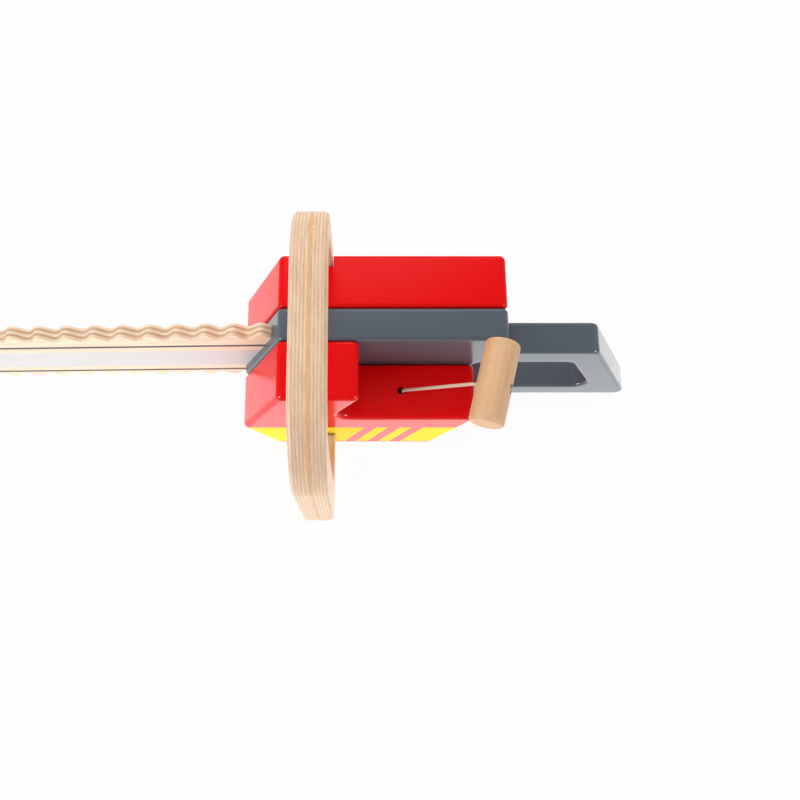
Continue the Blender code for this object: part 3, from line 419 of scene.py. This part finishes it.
# Patterns, as repeats for each metre along X, Y and Z
PAINT_CLOUDS, PAINT_GRAIN, PAINT_DEEPER = (18, 18, 18), (60, 1400, 1400), 0.90
PLY_WANDER, PLY_STREAKS, PLY_FLECKS = (30, 30, 30), (90, 90, 1700), (380, 380, 380)
HOOP_GRAIN, BLADE_GRAIN = (700, 30, 30), (30, 700, 30)
TOGGLE_GRAIN, TOGGLE_FLECKS = (260, 260, 12), (1500, 1500, 260)
DOWEL_GRAIN, DOWEL_FLECKS = (260, 12, 260), (1500, 260, 1500)
SPECKLE, COTTON_FIBRES = (1500, 1500, 1500), (2500, 2500, 2500)
NYLON_PITS, STEEL_LINES = (1800, 1800, 1800), (4000, 120, 4000)

# Plies: the last veneer is sanded to a share of the others, and a seam takes a share of the thickness
HOOP_SEAMS, FIRST_SEAM, LAST_VENEER, SEAM_REACH = 11, 0.04, 0.3, 0.028
BLADE_PLIES, BLADE_SEAM_SHARE = 5, 0.06
WANDER_SHARE, WANDER_START = 0.03, 0.485

# Print; only what lies within the skin of a face counts as the face
FACE_SKIN, PRINT_SOFTNESS, BAND_SOFTNESS = 0.00005, 0.0003, 0.0004
PLAIN_GLOSS, PRINT_GLOSS = 0.5, 0.02
HAZARD_BOTTOM, HAZARD_TOP, HAZARD_SKIN = 0.0045, 0.038, 0.0010
STRIPES, STRIPE_LEAN, STRIPE_FIRST, STRIPE_PITCH, STRIPE_WIDTH = 3, 0.314, -0.0034, 0.0125, 0.0062


def speckled(tree, tone, dark, light):
    """The same tone with fine pores."""
    pores = noise(tree, SPECKLE, detail=2, roughness=0.8)
    return mix(tree, 1.0, tone, ramp(tree, pores, [(0.30, grey(dark)), (0.70, grey(light))]), "MULTIPLY")


def flecked(tree, tone, pattern, start, full, strength, colour):
    """The same tone with dark flecks where the pattern is high."""
    flecks = ramp(tree, pattern, [(start, grey(0.0)), (full, grey(1.0))])
    return mix(tree, maths(tree, "MULTIPLY", flecks, strength), tone, (*colour, 1))


def paint(name, colour, ior, decoration=None):
    """Satin paint on fine wood: nearly even colour, faint grain and a slightly uneven gloss."""
    surface, tree, shader = new_material(name, ior=ior)
    clouds = noise(tree, PAINT_CLOUDS, detail=2)
    deeper = tuple(PAINT_DEEPER * part for part in colour)
    tone = mix(tree, clouds, (*deeper, 1), (*colour, 1))
    if decoration:
        tone = decoration(tree, tone)
    feed(tree, shader.inputs["Base Color"], tone)
    grain = noise(tree, PAINT_GRAIN, detail=4, roughness=0.6)
    feed(tree, shader.inputs["Roughness"], maths(tree, "MULTIPLY_ADD", grain, *PAINT_ROUGHNESS))
    bump(tree, grain, PAINT_BUMP)
    return surface


def hazard_band(tree, tone):
    """Yellow band on the left face, less glossy than the paint and broken by slanted stripes of it."""
    x, y, z = axes(tree)
    on_face = maths(tree, "LESS_THAN", y, LEFT_FACE + HAZARD_SKIN)
    height = between(tree, z, HAZARD_BOTTOM, HAZARD_TOP, PRINT_SOFTNESS)
    slant = maths(tree, "MULTIPLY_ADD", z, -STRIPE_LEAN, x)
    clear = 1.0
    for number in range(STRIPES):
        stripe = strip(tree, slant, STRIPE_FIRST + number * STRIPE_PITCH, STRIPE_WIDTH)
        clear = maths(tree, "SUBTRACT", clear, stripe)
    share = maths(tree, "MULTIPLY", maths(tree, "MULTIPLY", on_face, height), clear)
    gloss = maths(tree, "MULTIPLY_ADD", share, PRINT_GLOSS - PLAIN_GLOSS, PLAIN_GLOSS)
    feed(tree, tree.nodes["Principled BSDF"].inputs["Specular IOR Level"], gloss)
    return mix(tree, share, tone, (*YELLOW, 1))


def hoop_plies():
    """(place, tone) stops of evenly spaced seams, with the ply at the middle darker than the rest."""
    stops = [(0.0, PALE)]
    pitch = (1 - FIRST_SEAM) / (HOOP_SEAMS - 1 + LAST_VENEER)
    before_middle = HOOP_SEAMS // 2
    for number in range(HOOP_SEAMS):
        seam = FIRST_SEAM + number * pitch
        stops.append((seam, AMBER if number - before_middle in (0, 1) else TAN))
        if number != before_middle:
            stops.append((seam + SEAM_REACH, PALE))
    return stops


def blade_plies():
    """(place, tone) stops of pale plies with the grain lengthwise and darker ones with it across."""
    stops = []
    for number in range(BLADE_PLIES):
        for share in (BLADE_SEAM_SHARE, 1 - BLADE_SEAM_SHARE):
            stops.append(((number + share) / BLADE_PLIES, (CREAM, TAN)[number % 2]))
    return stops


def plywood(name, thickness, plies, face_grain, decoration=None):
    """Birch plywood, with its plies across local Z as (place from 0 to 1, tone) stops.

    Its edge shows fine streaks along the plies; its faces show the grain of the outer veneer."""
    surface, tree, shader = new_material(name, ior=PLY_IOR)
    across = axes(tree)[2]
    wander = maths(tree, "MULTIPLY_ADD", noise(tree, PLY_WANDER, detail=2), WANDER_SHARE, WANDER_START)
    base = ramp(tree, maths(tree, "MULTIPLY_ADD", across, 1 / thickness, wander), plies)
    streaks = noise(tree, PLY_STREAKS, detail=4, roughness=0.65, distortion=0.15)
    grain = noise(tree, face_grain, detail=4, roughness=0.6, distortion=0.4)
    on_face = maths(tree, "GREATER_THAN", maths(tree, "ABSOLUTE", across), thickness / 2 - FACE_SKIN)
    fibre = mix(tree, on_face, streaks, grain)
    tone = mix(tree, 1.0, base, ramp(tree, fibre, FIBRE_TINTS), "MULTIPLY")
    tone = speckled(tree, tone, 0.93, 1.06)
    spots = noise(tree, PLY_FLECKS, detail=2, roughness=0.8)
    tone = flecked(tree, tone, spots, 0.72, 0.78, 0.6, PLY_FLECK)
    if decoration:
        tone = decoration(tree, tone)
    feed(tree, shader.inputs["Base Color"], tone)
    feed(tree, shader.inputs["Roughness"], maths(tree, "MULTIPLY_ADD", fibre, *PLY_ROUGHNESS))
    bump(tree, fibre, PLY_BUMP)
    return surface


def blade_print(tree, tone):
    """Silver band and two dark lines along each face of the blade, up to where its nose starts."""
    x, y, z = axes(tree)
    on_face = maths(tree, "GREATER_THAN", maths(tree, "ABSOLUTE", z), BLADE_THICKNESS / 2 - FACE_SKIN)
    before_nose = maths(tree, "GREATER_THAN", x, BLADE_WIDTH / 2 - BLADE_REACH)
    printed = maths(tree, "MULTIPLY", on_face, before_nose)
    band = between(tree, y, BLADE_BAND_BOTTOM, BLADE_BAND_TOP, BAND_SOFTNESS)
    lines = maths(tree, "ADD", *(strip(tree, y, middle, BLADE_LINE_WIDTH)
                                 for middle in (BLADE_UPPER_LINE, BLADE_LOWER_LINE)))
    tone = mix(tree, maths(tree, "MULTIPLY", band, printed), tone, (*SILVER, 1))
    return mix(tree, maths(tree, "MULTIPLY", lines, printed), tone, (*LINE_GREY, 1))


def beech(name, light, dark, stretch, fleck_stretch):
    """Beech with its grain along the axis of the smallest stretch, and short dark ray flecks."""
    surface, tree, shader = new_material(name, ior=BEECH_IOR)
    bands = noise(tree, stretch, detail=5, roughness=0.6, distortion=0.6)
    tone = ramp(tree, bands, [(0.32, dark), (0.62, light)])
    rays = noise(tree, fleck_stretch, detail=2, roughness=0.6)
    tone = flecked(tree, tone, rays, 0.60, 0.68, 0.16, BEECH_FLECK)
    tone = speckled(tree, tone, 0.90, 1.08)
    feed(tree, shader.inputs["Base Color"], tone)
    feed(tree, shader.inputs["Roughness"], maths(tree, "MULTIPLY_ADD", bands, *BEECH_ROUGHNESS))
    bump(tree, rays, BEECH_BUMP)
    return surface


def cotton(name):
    surface, tree, shader = new_material(name, ior=COTTON_IOR)
    fibres = noise(tree, COTTON_FIBRES, detail=3, roughness=0.7)
    feed(tree, shader.inputs["Base Color"], ramp(tree, fibres, COTTON_TONES))
    shader.inputs["Roughness"].default_value = COTTON_ROUGHNESS
    shader.inputs["Sheen Weight"].default_value = COTTON_SHEEN
    bump(tree, fibres, COTTON_BUMP)
    return surface


def nylon(name):
    surface, tree, shader = new_material(name, ior=NYLON_IOR)
    pits = noise(tree, NYLON_PITS, detail=2)
    feed(tree, shader.inputs["Base Color"], ramp(tree, pits, NYLON_TONES))
    feed(tree, shader.inputs["Roughness"], maths(tree, "MULTIPLY_ADD", pits, *NYLON_ROUGHNESS))
    bump(tree, pits, FINE_BUMP)
    return surface


def steel(name):
    surface, tree, shader = new_material(name, metallic=1.0)
    lines = noise(tree, STEEL_LINES, detail=3)
    feed(tree, shader.inputs["Base Color"], ramp(tree, lines, STEEL_TONES))
    feed(tree, shader.inputs["Roughness"], maths(tree, "MULTIPLY_ADD", lines, *STEEL_ROUGHNESS))
    bump(tree, lines, FINE_BUMP)
    return surface


# ---------------------------------------------------------------- mesh helpers

def add_object(name, work, matrix=None):
    bmesh.ops.remove_doubles(work, verts=work.verts, dist=MERGE_DISTANCE)
    bmesh.ops.recalc_face_normals(work, faces=work.faces)
    mesh = bpy.data.meshes.new(name)
    work.to_mesh(mesh)
    work.free()
    made = bpy.data.objects.new(name, mesh)
    bpy.context.collection.objects.link(made)
    if matrix is not None:
        made.matrix_world = matrix
    return made


def bake_modifiers(obj):
    bpy.context.view_layer.update()
    depsgraph = bpy.context.evaluated_depsgraph_get()
    mesh = bpy.data.meshes.new_from_object(obj.evaluated_get(depsgraph))
    obj.modifiers.clear()
    obj.data = mesh


def subtract(obj, *cutters):
    for cutter in cutters:
        boolean = obj.modifiers.new(cutter.name, "BOOLEAN")
        boolean.operation = "DIFFERENCE"
        boolean.solver = "EXACT"
        boolean.object = cutter
    bake_modifiers(obj)
    for cutter in cutters:
        bpy.data.objects.remove(cutter)


def settle(obj):
    """Move an object's place into its mesh, so that its material works in the model's own frame."""
    obj.data.transform(obj.matrix_world)
    obj.matrix_world = Matrix.Identity(4)


def smooth(obj, angle=SHARP_ANGLE):
    """Smooth shading with sharp edges above an angle, and flat faces kept flat by their size."""
    obj.data.shade_smooth()
    obj.data.set_sharp_from_angle(angle=angle)
    weighted = obj.modifiers.new("weighted normals", "WEIGHTED_NORMAL")
    weighted.keep_sharp = True
    bake_modifiers(obj)


def dress(obj, surface, body, slot, *replaced):
    obj.data.materials.clear()
    obj.data.materials.append(surface)
    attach(obj, body)
    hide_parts(*replaced)
    return obj


def rounded(corners):
    """Outline with its material on the left, from (u, v, radius, rim share) corners.

    Each place is (point, outward normal, rim share)."""
    places = []
    for index, (u, v, radius, share) in enumerate(corners):
        corner = Vector((u, v))
        into = (corner - Vector(corners[index - 1][:2])).normalized()
        out = (Vector(corners[(index + 1) % len(corners)][:2]) - corner).normalized()
        turn = math.atan2(into.x * out.y - into.y * out.x, into.dot(out))
        if radius == 0 or abs(turn) < NEARLY_STRAIGHT:
            normal = Vector((into.y + out.y, -into.x - out.x)).normalized()
            places.append((corner, normal / math.cos(turn / 2), share))
            continue
        side = math.copysign(1, turn)
        start = corner - into * radius * math.tan(abs(turn) / 2)
        centre = start + Vector((-into.y, into.x)) * radius * side
        count = max(3, math.ceil(abs(turn) / ARC_STEP))
        for number in range(count + 1):
            spoke = Matrix.Rotation(turn * number / count, 2) @ (start - centre)
            places.append((centre + spoke, spoke * side / radius, share))
    return places


def join_rings(work, rings):
    """Faces between each ring of corners and the next one; corners that meet on an axis count once."""
    for lower, upper in zip(rings, rings[1:]):
        for index in range(len(lower)):
            after = (index + 1) % len(lower)
            corners = dict.fromkeys((lower[index], lower[after], upper[after], upper[index]))
            work.faces.new(list(corners))


def plate(name, loops, thickness, matrix, back, front):
    """Plate about the middle of its thickness; back and front are the roundings of its two rims."""
    levels = [(back, -1, math.pi / 2 * step / RIM_STEPS) for step in range(RIM_STEPS, -1, -1)]
    levels += [(front, 1, math.pi / 2 * step / RIM_STEPS) for step in range(RIM_STEPS + 1)]
    work = bmesh.new()
    cap_rings = [[], []]
    for places in loops:
        rings = []
        for rounding, side, angle in levels:
            ring = []
            for point, normal, share in places:
                inset = share * rounding * (1 - math.cos(angle))
                height = side * (thickness / 2 - share * rounding * (1 - math.sin(angle)))
                ring.append(work.verts.new((*(point - normal * inset), height)))
            rings.append(ring)
        join_rings(work, rings)
        cap_rings[0].append(rings[0])
        cap_rings[1].append(rings[-1])
    for rings in cap_rings:
        if len(rings) == 1:
            work.faces.new(rings[0])
            continue
        rims = [work.edges.get((ring[index - 1], ring[index]))
                for ring in rings for index in range(len(ring))]
        bmesh.ops.triangle_fill(work, use_beauty=True, edges=rims)
    return add_object(name, work, matrix)


def lathe(name, profile, steps, matrix):
    """Solid of revolution about Z from (radius, height) points, whose two ends lie on the axis."""
    work = bmesh.new()
    rings = []
    for radius, height in profile:
        if radius == 0:
            rings.append([work.verts.new((0.0, 0.0, height))] * steps)
            continue
        rings.append([work.verts.new((radius * math.cos(2 * math.pi * step / steps),
                                      radius * math.sin(2 * math.pi * step / steps), height))
                      for step in range(steps)])
    join_rings(work, rings)
    return add_object(name, work, matrix)


def block(name, low, high):
    """Plain box between two corners, to cut with."""
    work = bmesh.new()
    size = Vector(high) - Vector(low)
    place = Matrix.Translation((Vector(high) + Vector(low)) / 2) @ Matrix.Diagonal((*size, 1))
    bmesh.ops.create_cube(work, size=1.0, matrix=place)
    return add_object(name, work)


def twisted_cord(name, route):
    """Mesh tube along a route, with a lobed section that turns once for each lay length."""
    work = bmesh.new()
    tangents = [(route[min(index + 1, len(route) - 1)] - route[max(index - 1, 0)]).normalized()
                for index in range(len(route))]
    side = tangents[0].orthogonal().normalized()
    travelled = 0.0
    rings = []
    for index, (point, tangent) in enumerate(zip(route, tangents)):
        if index:
            travelled += (point - route[index - 1]).length
        side = (side - tangent * side.dot(tangent)).normalized()
        other = tangent.cross(side)
        ring = []
        for step in range(CORD_SIDES):
            angle = 2 * math.pi * step / CORD_SIDES
            lobe = abs(math.cos(CORD_STRANDS / 2 * (angle - 2 * math.pi * travelled / CORD_LAY)))
            reach = CORD_DIAMETER / 2 * (1 - STRAND_DEPTH + STRAND_DEPTH * math.sqrt(lobe))
            ring.append(work.verts.new(point + reach * (side * math.cos(angle) + other * math.sin(angle))))
        rings.append(ring)
    join_rings(work, rings)
    work.faces.new(rings[0])
    work.faces.new(rings[-1])
    return add_object(name, work)


# ---------------------------------------------------------------- body

def front_x(z):
    if z < NOSE_HEIGHT:
        return BOTTOM_FRONT + (NOSE - BOTTOM_FRONT) * z / NOSE_HEIGHT
    return NOSE + (TOP_FRONT - NOSE) * (z - NOSE_HEIGHT) / (BODY_HEIGHT - NOSE_HEIGHT)


def rear_x(z):
    return BOTTOM_REAR + (TOP_REAR - BOTTOM_REAR) * z / BODY_HEIGHT


def undercut_x(z):
    return UNDERCUT_TOP - (BODY_HEIGHT - z) * UNDERCUT_SLOPE


def grip_x(z):
    return GRIP_END - GRIP_SLOPE * z


def layer_place(low, high):
    return Matrix.Translation((0.0, (low + high) / 2, 0.0)) @ SIDE_VIEW


def right_block(surface):
    corners = [(BOTTOM_FRONT, 0.0, BODY_CORNER, 1), (BOTTOM_REAR, 0.0, BODY_CORNER, 1),
               (TOP_REAR, BODY_HEIGHT, BODY_CORNER, 1), (TOP_FRONT, BODY_HEIGHT, BODY_CORNER, 1),
               (NOSE, NOSE_HEIGHT, BODY_CORNER, 1)]
    layer = plate("right_block_painted", [rounded(corners)], RIGHT_FACE - RIGHT_SEAM,
                  layer_place(RIGHT_SEAM, RIGHT_FACE), OUTER_ROUNDING, SEAM_ROUNDING)
    settle(layer)
    half = PLATE_THICKNESS / 2 + CHANNEL_CLEARANCE
    subtract(layer, block("channel", (PLATE_MIDDLE - half, RIGHT_FACE - CHANNEL_DEPTH,
                                      TAB_END_HEIGHT - CHANNEL_CLEARANCE),
                          (PLATE_MIDDLE + half, RIGHT_FACE + CHANNEL_OVERRUN, BODY_HEIGHT + CHANNEL_OVERRUN)))
    smooth(layer)
    return dress(layer, surface, "root", "red_paint", "right_side_block")


def left_block(surface):
    corners = [(BOTTOM_FRONT, 0.0, BODY_CORNER, 1), (BOTTOM_REAR, 0.0, BODY_CORNER, 1),
               (rear_x(STEP_HEIGHT), STEP_HEIGHT, BODY_CORNER, 1),
               (undercut_x(STEP_HEIGHT), STEP_HEIGHT, STEP_FILLET, 1),
               (undercut_x(BODY_HEIGHT), BODY_HEIGHT, BODY_CORNER, 1),
               (TOP_FRONT, BODY_HEIGHT, BODY_CORNER, 1), (NOSE, NOSE_HEIGHT, BODY_CORNER, 1)]
    layer = plate("left_block_painted", [rounded(corners)], LEFT_SEAM - LEFT_FACE,
                  layer_place(LEFT_FACE, LEFT_SEAM), SEAM_ROUNDING, OUTER_ROUNDING)
    settle(layer)
    reel_low, reel_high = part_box("starter_reel")
    cover_low, cover_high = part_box("reel_cover")
    axis = Matrix.Translation(((reel_low.x + reel_high.x) / 2, 0.0, (reel_low.z + reel_high.z) / 2)) @ ALONG_Y
    ledge = cover_high.y - COVER_THICKNESS - GAP
    beyond = LEFT_SEAM + POCKET_OVERRUN
    wide = COVER_RADIUS + GAP
    pocket = lathe("pocket", [(0, beyond), (wide, beyond), (wide, ledge), (POCKET_RADIUS, ledge),
                              (POCKET_RADIUS, reel_low.y - GAP), (0, reel_low.y - GAP)], POCKET_SIDES, axis)
    bore, above, below = CORD_HOLE_DIAMETER / 2, STEP_HEIGHT + CORD_LIP, reel_high.z - HOLE_INTO_POCKET
    hole = lathe("hole", [(0, above), (bore + 2 * CORD_LIP, above), (bore, STEP_HEIGHT - CORD_LIP),
                          (bore, below), (0, below)], HOLE_SIDES,
                 Matrix.Translation((CORD_HOLE_X, CORD_HOLE_Y, 0.0)))
    subtract(layer, pocket, hole)
    smooth(layer)
    return dress(layer, surface, "root", "red_paint", "left_side_block")


def centre_layer(surface):
    bar_bottom = GRIP_TOP - GRIP_BAR
    full = GRIP_ROUNDING / SEAM_ROUNDING
    outline = rounded([
        (BOTTOM_FRONT, 0.0, BODY_CORNER, 1), (BOTTOM_REAR, 0.0, 0, full),
        (grip_x(0.0), 0.0, GRIP_OUTER_RADIUS, full), (grip_x(GRIP_TOP), GRIP_TOP, GRIP_OUTER_RADIUS, full),
        (rear_x(GRIP_TOP), GRIP_TOP, GRIP_STEP_FILLET, full),
        (TOP_REAR, BODY_HEIGHT, BODY_CORNER, 1), (TOP_FRONT, BODY_HEIGHT, BODY_CORNER, 1),
        (NOSE, NOSE_HEIGHT, BODY_CORNER, 1)])
    opening = rounded([
        (rear_x(GRIP_LOWER_BAR), GRIP_LOWER_BAR, GRIP_INNER_RADIUS, full),
        (rear_x(bar_bottom), bar_bottom, GRIP_INNER_RADIUS, full),
        (grip_x(bar_bottom) - GRIP_REAR_WIDTH, bar_bottom, GRIP_INNER_RADIUS, full),
        (grip_x(GRIP_LOWER_BAR) - GRIP_REAR_WIDTH, GRIP_LOWER_BAR, GRIP_INNER_RADIUS, full)])
    layer = plate("centre_layer_painted", [outline, opening], CENTRE_RIGHT - CENTRE_LEFT,
                  layer_place(CENTRE_LEFT, CENTRE_RIGHT), SEAM_ROUNDING, SEAM_ROUNDING)
    settle(layer)
    smooth(layer)
    return dress(layer, surface, "root", "grey_paint", "centre_body")


# ---------------------------------------------------------------- blade and front handle

def blade_place():
    root = Matrix.Translation((front_x(BLADE_AXIS_HEIGHT), CENTRE_Y, BLADE_AXIS_HEIGHT))
    return root @ Matrix.Rotation(-BLADE_DROOP, 4, "Y") @ SIDE_VIEW


def on_front_face(v):
    """Point of the body's front face, in the blade's own plane, at a distance v from its centre line."""
    to_blade = blade_place().inverted()
    low, high = 0.0, BODY_HEIGHT
    for _ in range(BISECTIONS):
        z = (low + high) / 2
        point = to_blade @ Vector((front_x(z) - GAP, CENTRE_Y, z))
        if point.y < v:
            low = z
        else:
            high = z
    return point.xy


def wave_places():
    """Places round the blade's edge: (crest point, outward normal, valley share from 0 to 1)."""
    upper, lower = on_front_face(BLADE_WIDTH / 2), on_front_face(-BLADE_WIDTH / 2)
    radius = BLADE_WIDTH / 2
    nose = radius - BLADE_REACH
    straight, arc = upper.x - nose, math.pi * radius
    total = straight + arc + lower.x - nose
    count = round(total / WAVE_PITCH * WAVE_POINTS)
    places = []
    for number in range(count + 1):
        s = total * number / count
        valley = (1 - math.cos(2 * math.pi * (s - upper.x - WAVE_FIRST_CREST) / WAVE_PITCH)) / 2
        if s < straight:
            point, normal = Vector((upper.x - s, radius)), Vector((0.0, 1.0))
        elif s < straight + arc:
            turn = (s - straight) / radius
            normal = Vector((-math.sin(turn), math.cos(turn)))
            point = Vector((nose, 0.0)) + normal * radius
        else:
            point, normal = Vector((nose + s - straight - arc, -radius)), Vector((0.0, -1.0))
        if (point - normal * valley * VALLEY_DEPTH).x < on_front_face(point.y).x - WAVE_MARGIN:
            places.append((point, normal, valley))
    return places


def blade(surface):
    waves = wave_places()
    half = TANG_WIDTH / 2
    tang = [on_front_face(-half), Vector((TANG_LENGTH, -half)),
            Vector((TANG_LENGTH, half)), on_front_face(half)]
    work = bmesh.new()
    rows = []
    for row in range(BLADE_ROWS + 1):
        across = row / BLADE_ROWS
        rim = EDGE_BREAK * abs(2 * across - 1) ** EDGE_BREAK_POWER
        ring = []
        height = (across - 0.5) * BLADE_THICKNESS
        for point, normal, valley in waves:
            cut = VALLEY_DEPTH + VALLEY_LEAN * (across - 0.5) * normal.y
            ring.append(work.verts.new((*(point - normal * (valley * cut + rim)), height)))
        for point in tang:
            ring.append(work.verts.new((*point, height)))
        rows.append(ring)
    join_rings(work, rows)
    work.faces.new(rows[0])
    work.faces.new(rows[-1])
    made = add_object("blade_plywood", work, blade_place())
    smooth(made)
    return dress(made, surface, "root", "blade_plywood", "saw_blade")


def hoop(surface):
    inner_left = HOOP_LEFT + NEAR_LEG_WIDTH
    underside = HOOP_TOP - HOOP_BAR
    arm_end = LEFT_FACE - GAP
    inner = RIGHT_FACE - CHANNEL_DEPTH + GAP
    outer = inner + FAR_LEG_WIDTH
    outline = rounded([
        (HOOP_LEFT, 0.0, ARM_RADIUS, 1), (arm_end - ARM_END_FLAT, 0.0, 0, 1), (arm_end, 0.0, 0, 0),
        (arm_end, ARM_HEIGHT, 0, 0), (arm_end - ARM_END_FLAT, ARM_HEIGHT, 0, 1),
        (inner_left, ARM_HEIGHT, ARM_INNER_RADIUS, 1), (inner_left, underside, HOOP_INNER_RADIUS, 1),
        (inner - (underside - BODY_HEIGHT) * LEG_LEAN, underside, HOOP_INNER_RADIUS, 1),
        (inner, BODY_HEIGHT, LEG_BEND_RADIUS, 1), (inner, TAB_END_HEIGHT, TAB_RADIUS, 1),
        (outer, TAB_END_HEIGHT, TAB_RADIUS, 1), (outer, BODY_HEIGHT, LEG_BEND_RADIUS, 1),
        (outer - (HOOP_TOP - BODY_HEIGHT) * LEG_LEAN, HOOP_TOP, HOOP_RADIUS, 1),
        (HOOP_LEFT, HOOP_TOP, HOOP_RADIUS, 1)])
    made = plate("hoop_plywood", [outline], PLATE_THICKNESS,
                 Matrix.Translation((PLATE_MIDDLE, 0.0, 0.0)) @ FRONT_VIEW, PLATE_ROUNDING, PLATE_ROUNDING)
    smooth(made)
    return dress(made, surface, "root", "handle_plywood", "front_handle")


# ---------------------------------------------------------------- toggle, cord and knot

def toggle(surface):
    core = TOGGLE_DIAMETER / 2 - TOGGLE_ROUNDING
    top = TOGGLE_LENGTH / 2 + TOGGLE_BORE_OFFSET
    bottom = top - TOGGLE_LENGTH
    profile = [(0, top)]
    for step in range(TOGGLE_RIM_STEPS + 1):
        angle = math.pi / 2 * (1 - step / TOGGLE_RIM_STEPS)
        profile.append((core + TOGGLE_ROUNDING * math.cos(angle),
                        top - TOGGLE_ROUNDING * (1 - math.sin(angle))))
    profile += [(radius, top + bottom - height) for radius, height in reversed(profile)]
    lengthwise = Matrix.Rotation(TOGGLE_HEADING, 4, "Z") @ Matrix.Rotation(math.radians(90), 4, "Y")
    made = lathe("toggle_beech", profile, TOGGLE_SIDES, Matrix.Translation(TOGGLE_CENTRE) @ lengthwise)
    bore, recess, reach = TOGGLE_BORE / 2, RECESS_DIAMETER / 2, TOGGLE_DIAMETER / 2
    hole = lathe("toggle_hole", [(0, reach + recess), (2 * recess, reach + recess),
                                 (recess, reach - RECESS_LIP), (recess, reach - RECESS_DEPTH),
                                 (bore, reach - RECESS_DEPTH),
                                 (bore, BORE_LIP - reach), (2 * bore, -reach - bore), (0, -reach - bore)],
                 HOLE_SIDES,
                 Matrix.Translation(TOGGLE_CENTRE) @ BORE_FRAME)
    subtract(made, hole)
    smooth(made, TOGGLE_SHARP_ANGLE)
    return dress(made, surface, "toggle", "beech", "pull_toggle")


def pull_route():
    """Taut cord from its hole to the toggle: straight along the pull, then bent into the bore's line."""
    bend_start = CORD_CORNER + (CORD_START - CORD_CORNER).normalized() * CORD_BEND
    points = [CORD_START.lerp(bend_start, number / PULL_STEPS) for number in range(PULL_STEPS)]
    for number in range(BEND_STEPS + 1):
        share = number / BEND_STEPS
        points.append(bend_start.lerp(CORD_CORNER, share).lerp(CORD_CORNER.lerp(CORD_END, share), share))
    return points


def pull_cord(surface):
    route = pull_route()
    made = twisted_cord("pull_cord_twisted", route)
    smooth(made, CORD_SHARP_ANGLE)
    dress(made, surface, "pull_line", "cord", "starter_cord")
    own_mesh(made)
    return made


def knot(surface):
    """Cord through the bore, with an overhand knot and its short end in the toggle's recess."""
    half = TOGGLE_DIAMETER / 2
    middle = half - RECESS_DEPTH + KNOT_HEIGHT
    start, end = -half - CORD_TAIL, middle - KNOT_REACH * (KNOT_END**5 - 10 * KNOT_END)
    route = [Vector((0.0, 0.0, start + (end - start) * step / KNOT_LEAD_STEPS))
             for step in range(KNOT_LEAD_STEPS)]
    for step in range(KNOT_STEPS + 1):
        t = -KNOT_END + 2 * KNOT_END * step / KNOT_STEPS
        route.append(Vector((KNOT_SPREAD * (t**3 - 3 * t),
                             KNOT_FLATNESS * KNOT_SPREAD * (t**4 - 4 * t**2 + KNOT_SHIFT),
                             middle + KNOT_REACH * (t**5 - 10 * t))))
    made = twisted_cord("cord_knot_twisted", evened(route, KNOT_SPACING))
    made.matrix_world = Matrix.Translation(TOGGLE_CENTRE) @ BORE_FRAME
    smooth(made, CORD_SHARP_ANGLE)
    return dress(made, surface, "toggle", "cord", "cord_knot")


def evened(route, spacing):
    """The same route smoothed, with points at even distances."""
    for _ in range(KNOT_SMOOTHINGS):
        inner = [(a + 2 * b + c) / 4 for a, b, c in zip(route, route[1:], route[2:])]
        route = [route[0], *inner, route[-1]]
    points = [route[0]]
    left = spacing
    for before, after in zip(route, route[1:]):
        length = (after - before).length
        while left <= length:
            points.append(before.lerp(after, left / length))
            left += spacing
        left -= length
    return points


# ---------------------------------------------------------------- the scene

camera()
world()
stage()
light_table()
for lamp_values in LAMPS:
    area_light(*lamp_values)

red = paint("red_satin", RED, RED_IOR)
red_banded = paint("red_satin_with_band", RED, RED_IOR, hazard_band)
slate = paint("slate_satin", SLATE, SLATE_IOR)
hoop_wood = plywood("hoop_birch_plywood", PLATE_THICKNESS, hoop_plies(), HOOP_GRAIN)
blade_wood = plywood("blade_birch_plywood", BLADE_THICKNESS, blade_plies(), BLADE_GRAIN, blade_print)
toggle_wood = beech("toggle_beech", TOGGLE_LIGHT, TOGGLE_DARK, TOGGLE_GRAIN, TOGGLE_FLECKS)
dowel_wood = beech("dowel_beech", DOWEL_LIGHT, DOWEL_DARK, DOWEL_GRAIN, DOWEL_FLECKS)
cord_cotton = cotton("cotton_cord")
slot_surfaces = {"red_paint": red, "grey_paint": slate, "blade_plywood": blade_wood,
                 "handle_plywood": hoop_wood, "beech": dowel_wood, "cord": cord_cotton,
                 "reel_plastic": nylon("moulded_nylon"), "steel": steel("spring_steel")}
for subpart in frame["record"]["subparts"]:
    carried = frame["nodes"][subpart["node"]]
    for material_slot in carried.material_slots:
        material_slot.material = slot_surfaces[subpart["material_slot"]]

right_block(red)
left_block(red_banded)
centre_layer(slate)
blade(blade_wood)
hoop(hoop_wood)
turned_toggle = toggle(toggle_wood)
tied_knot = knot(cord_cotton)
pull_cord(cord_cotton)

bpy.context.scene.view_settings.view_transform = "Standard"
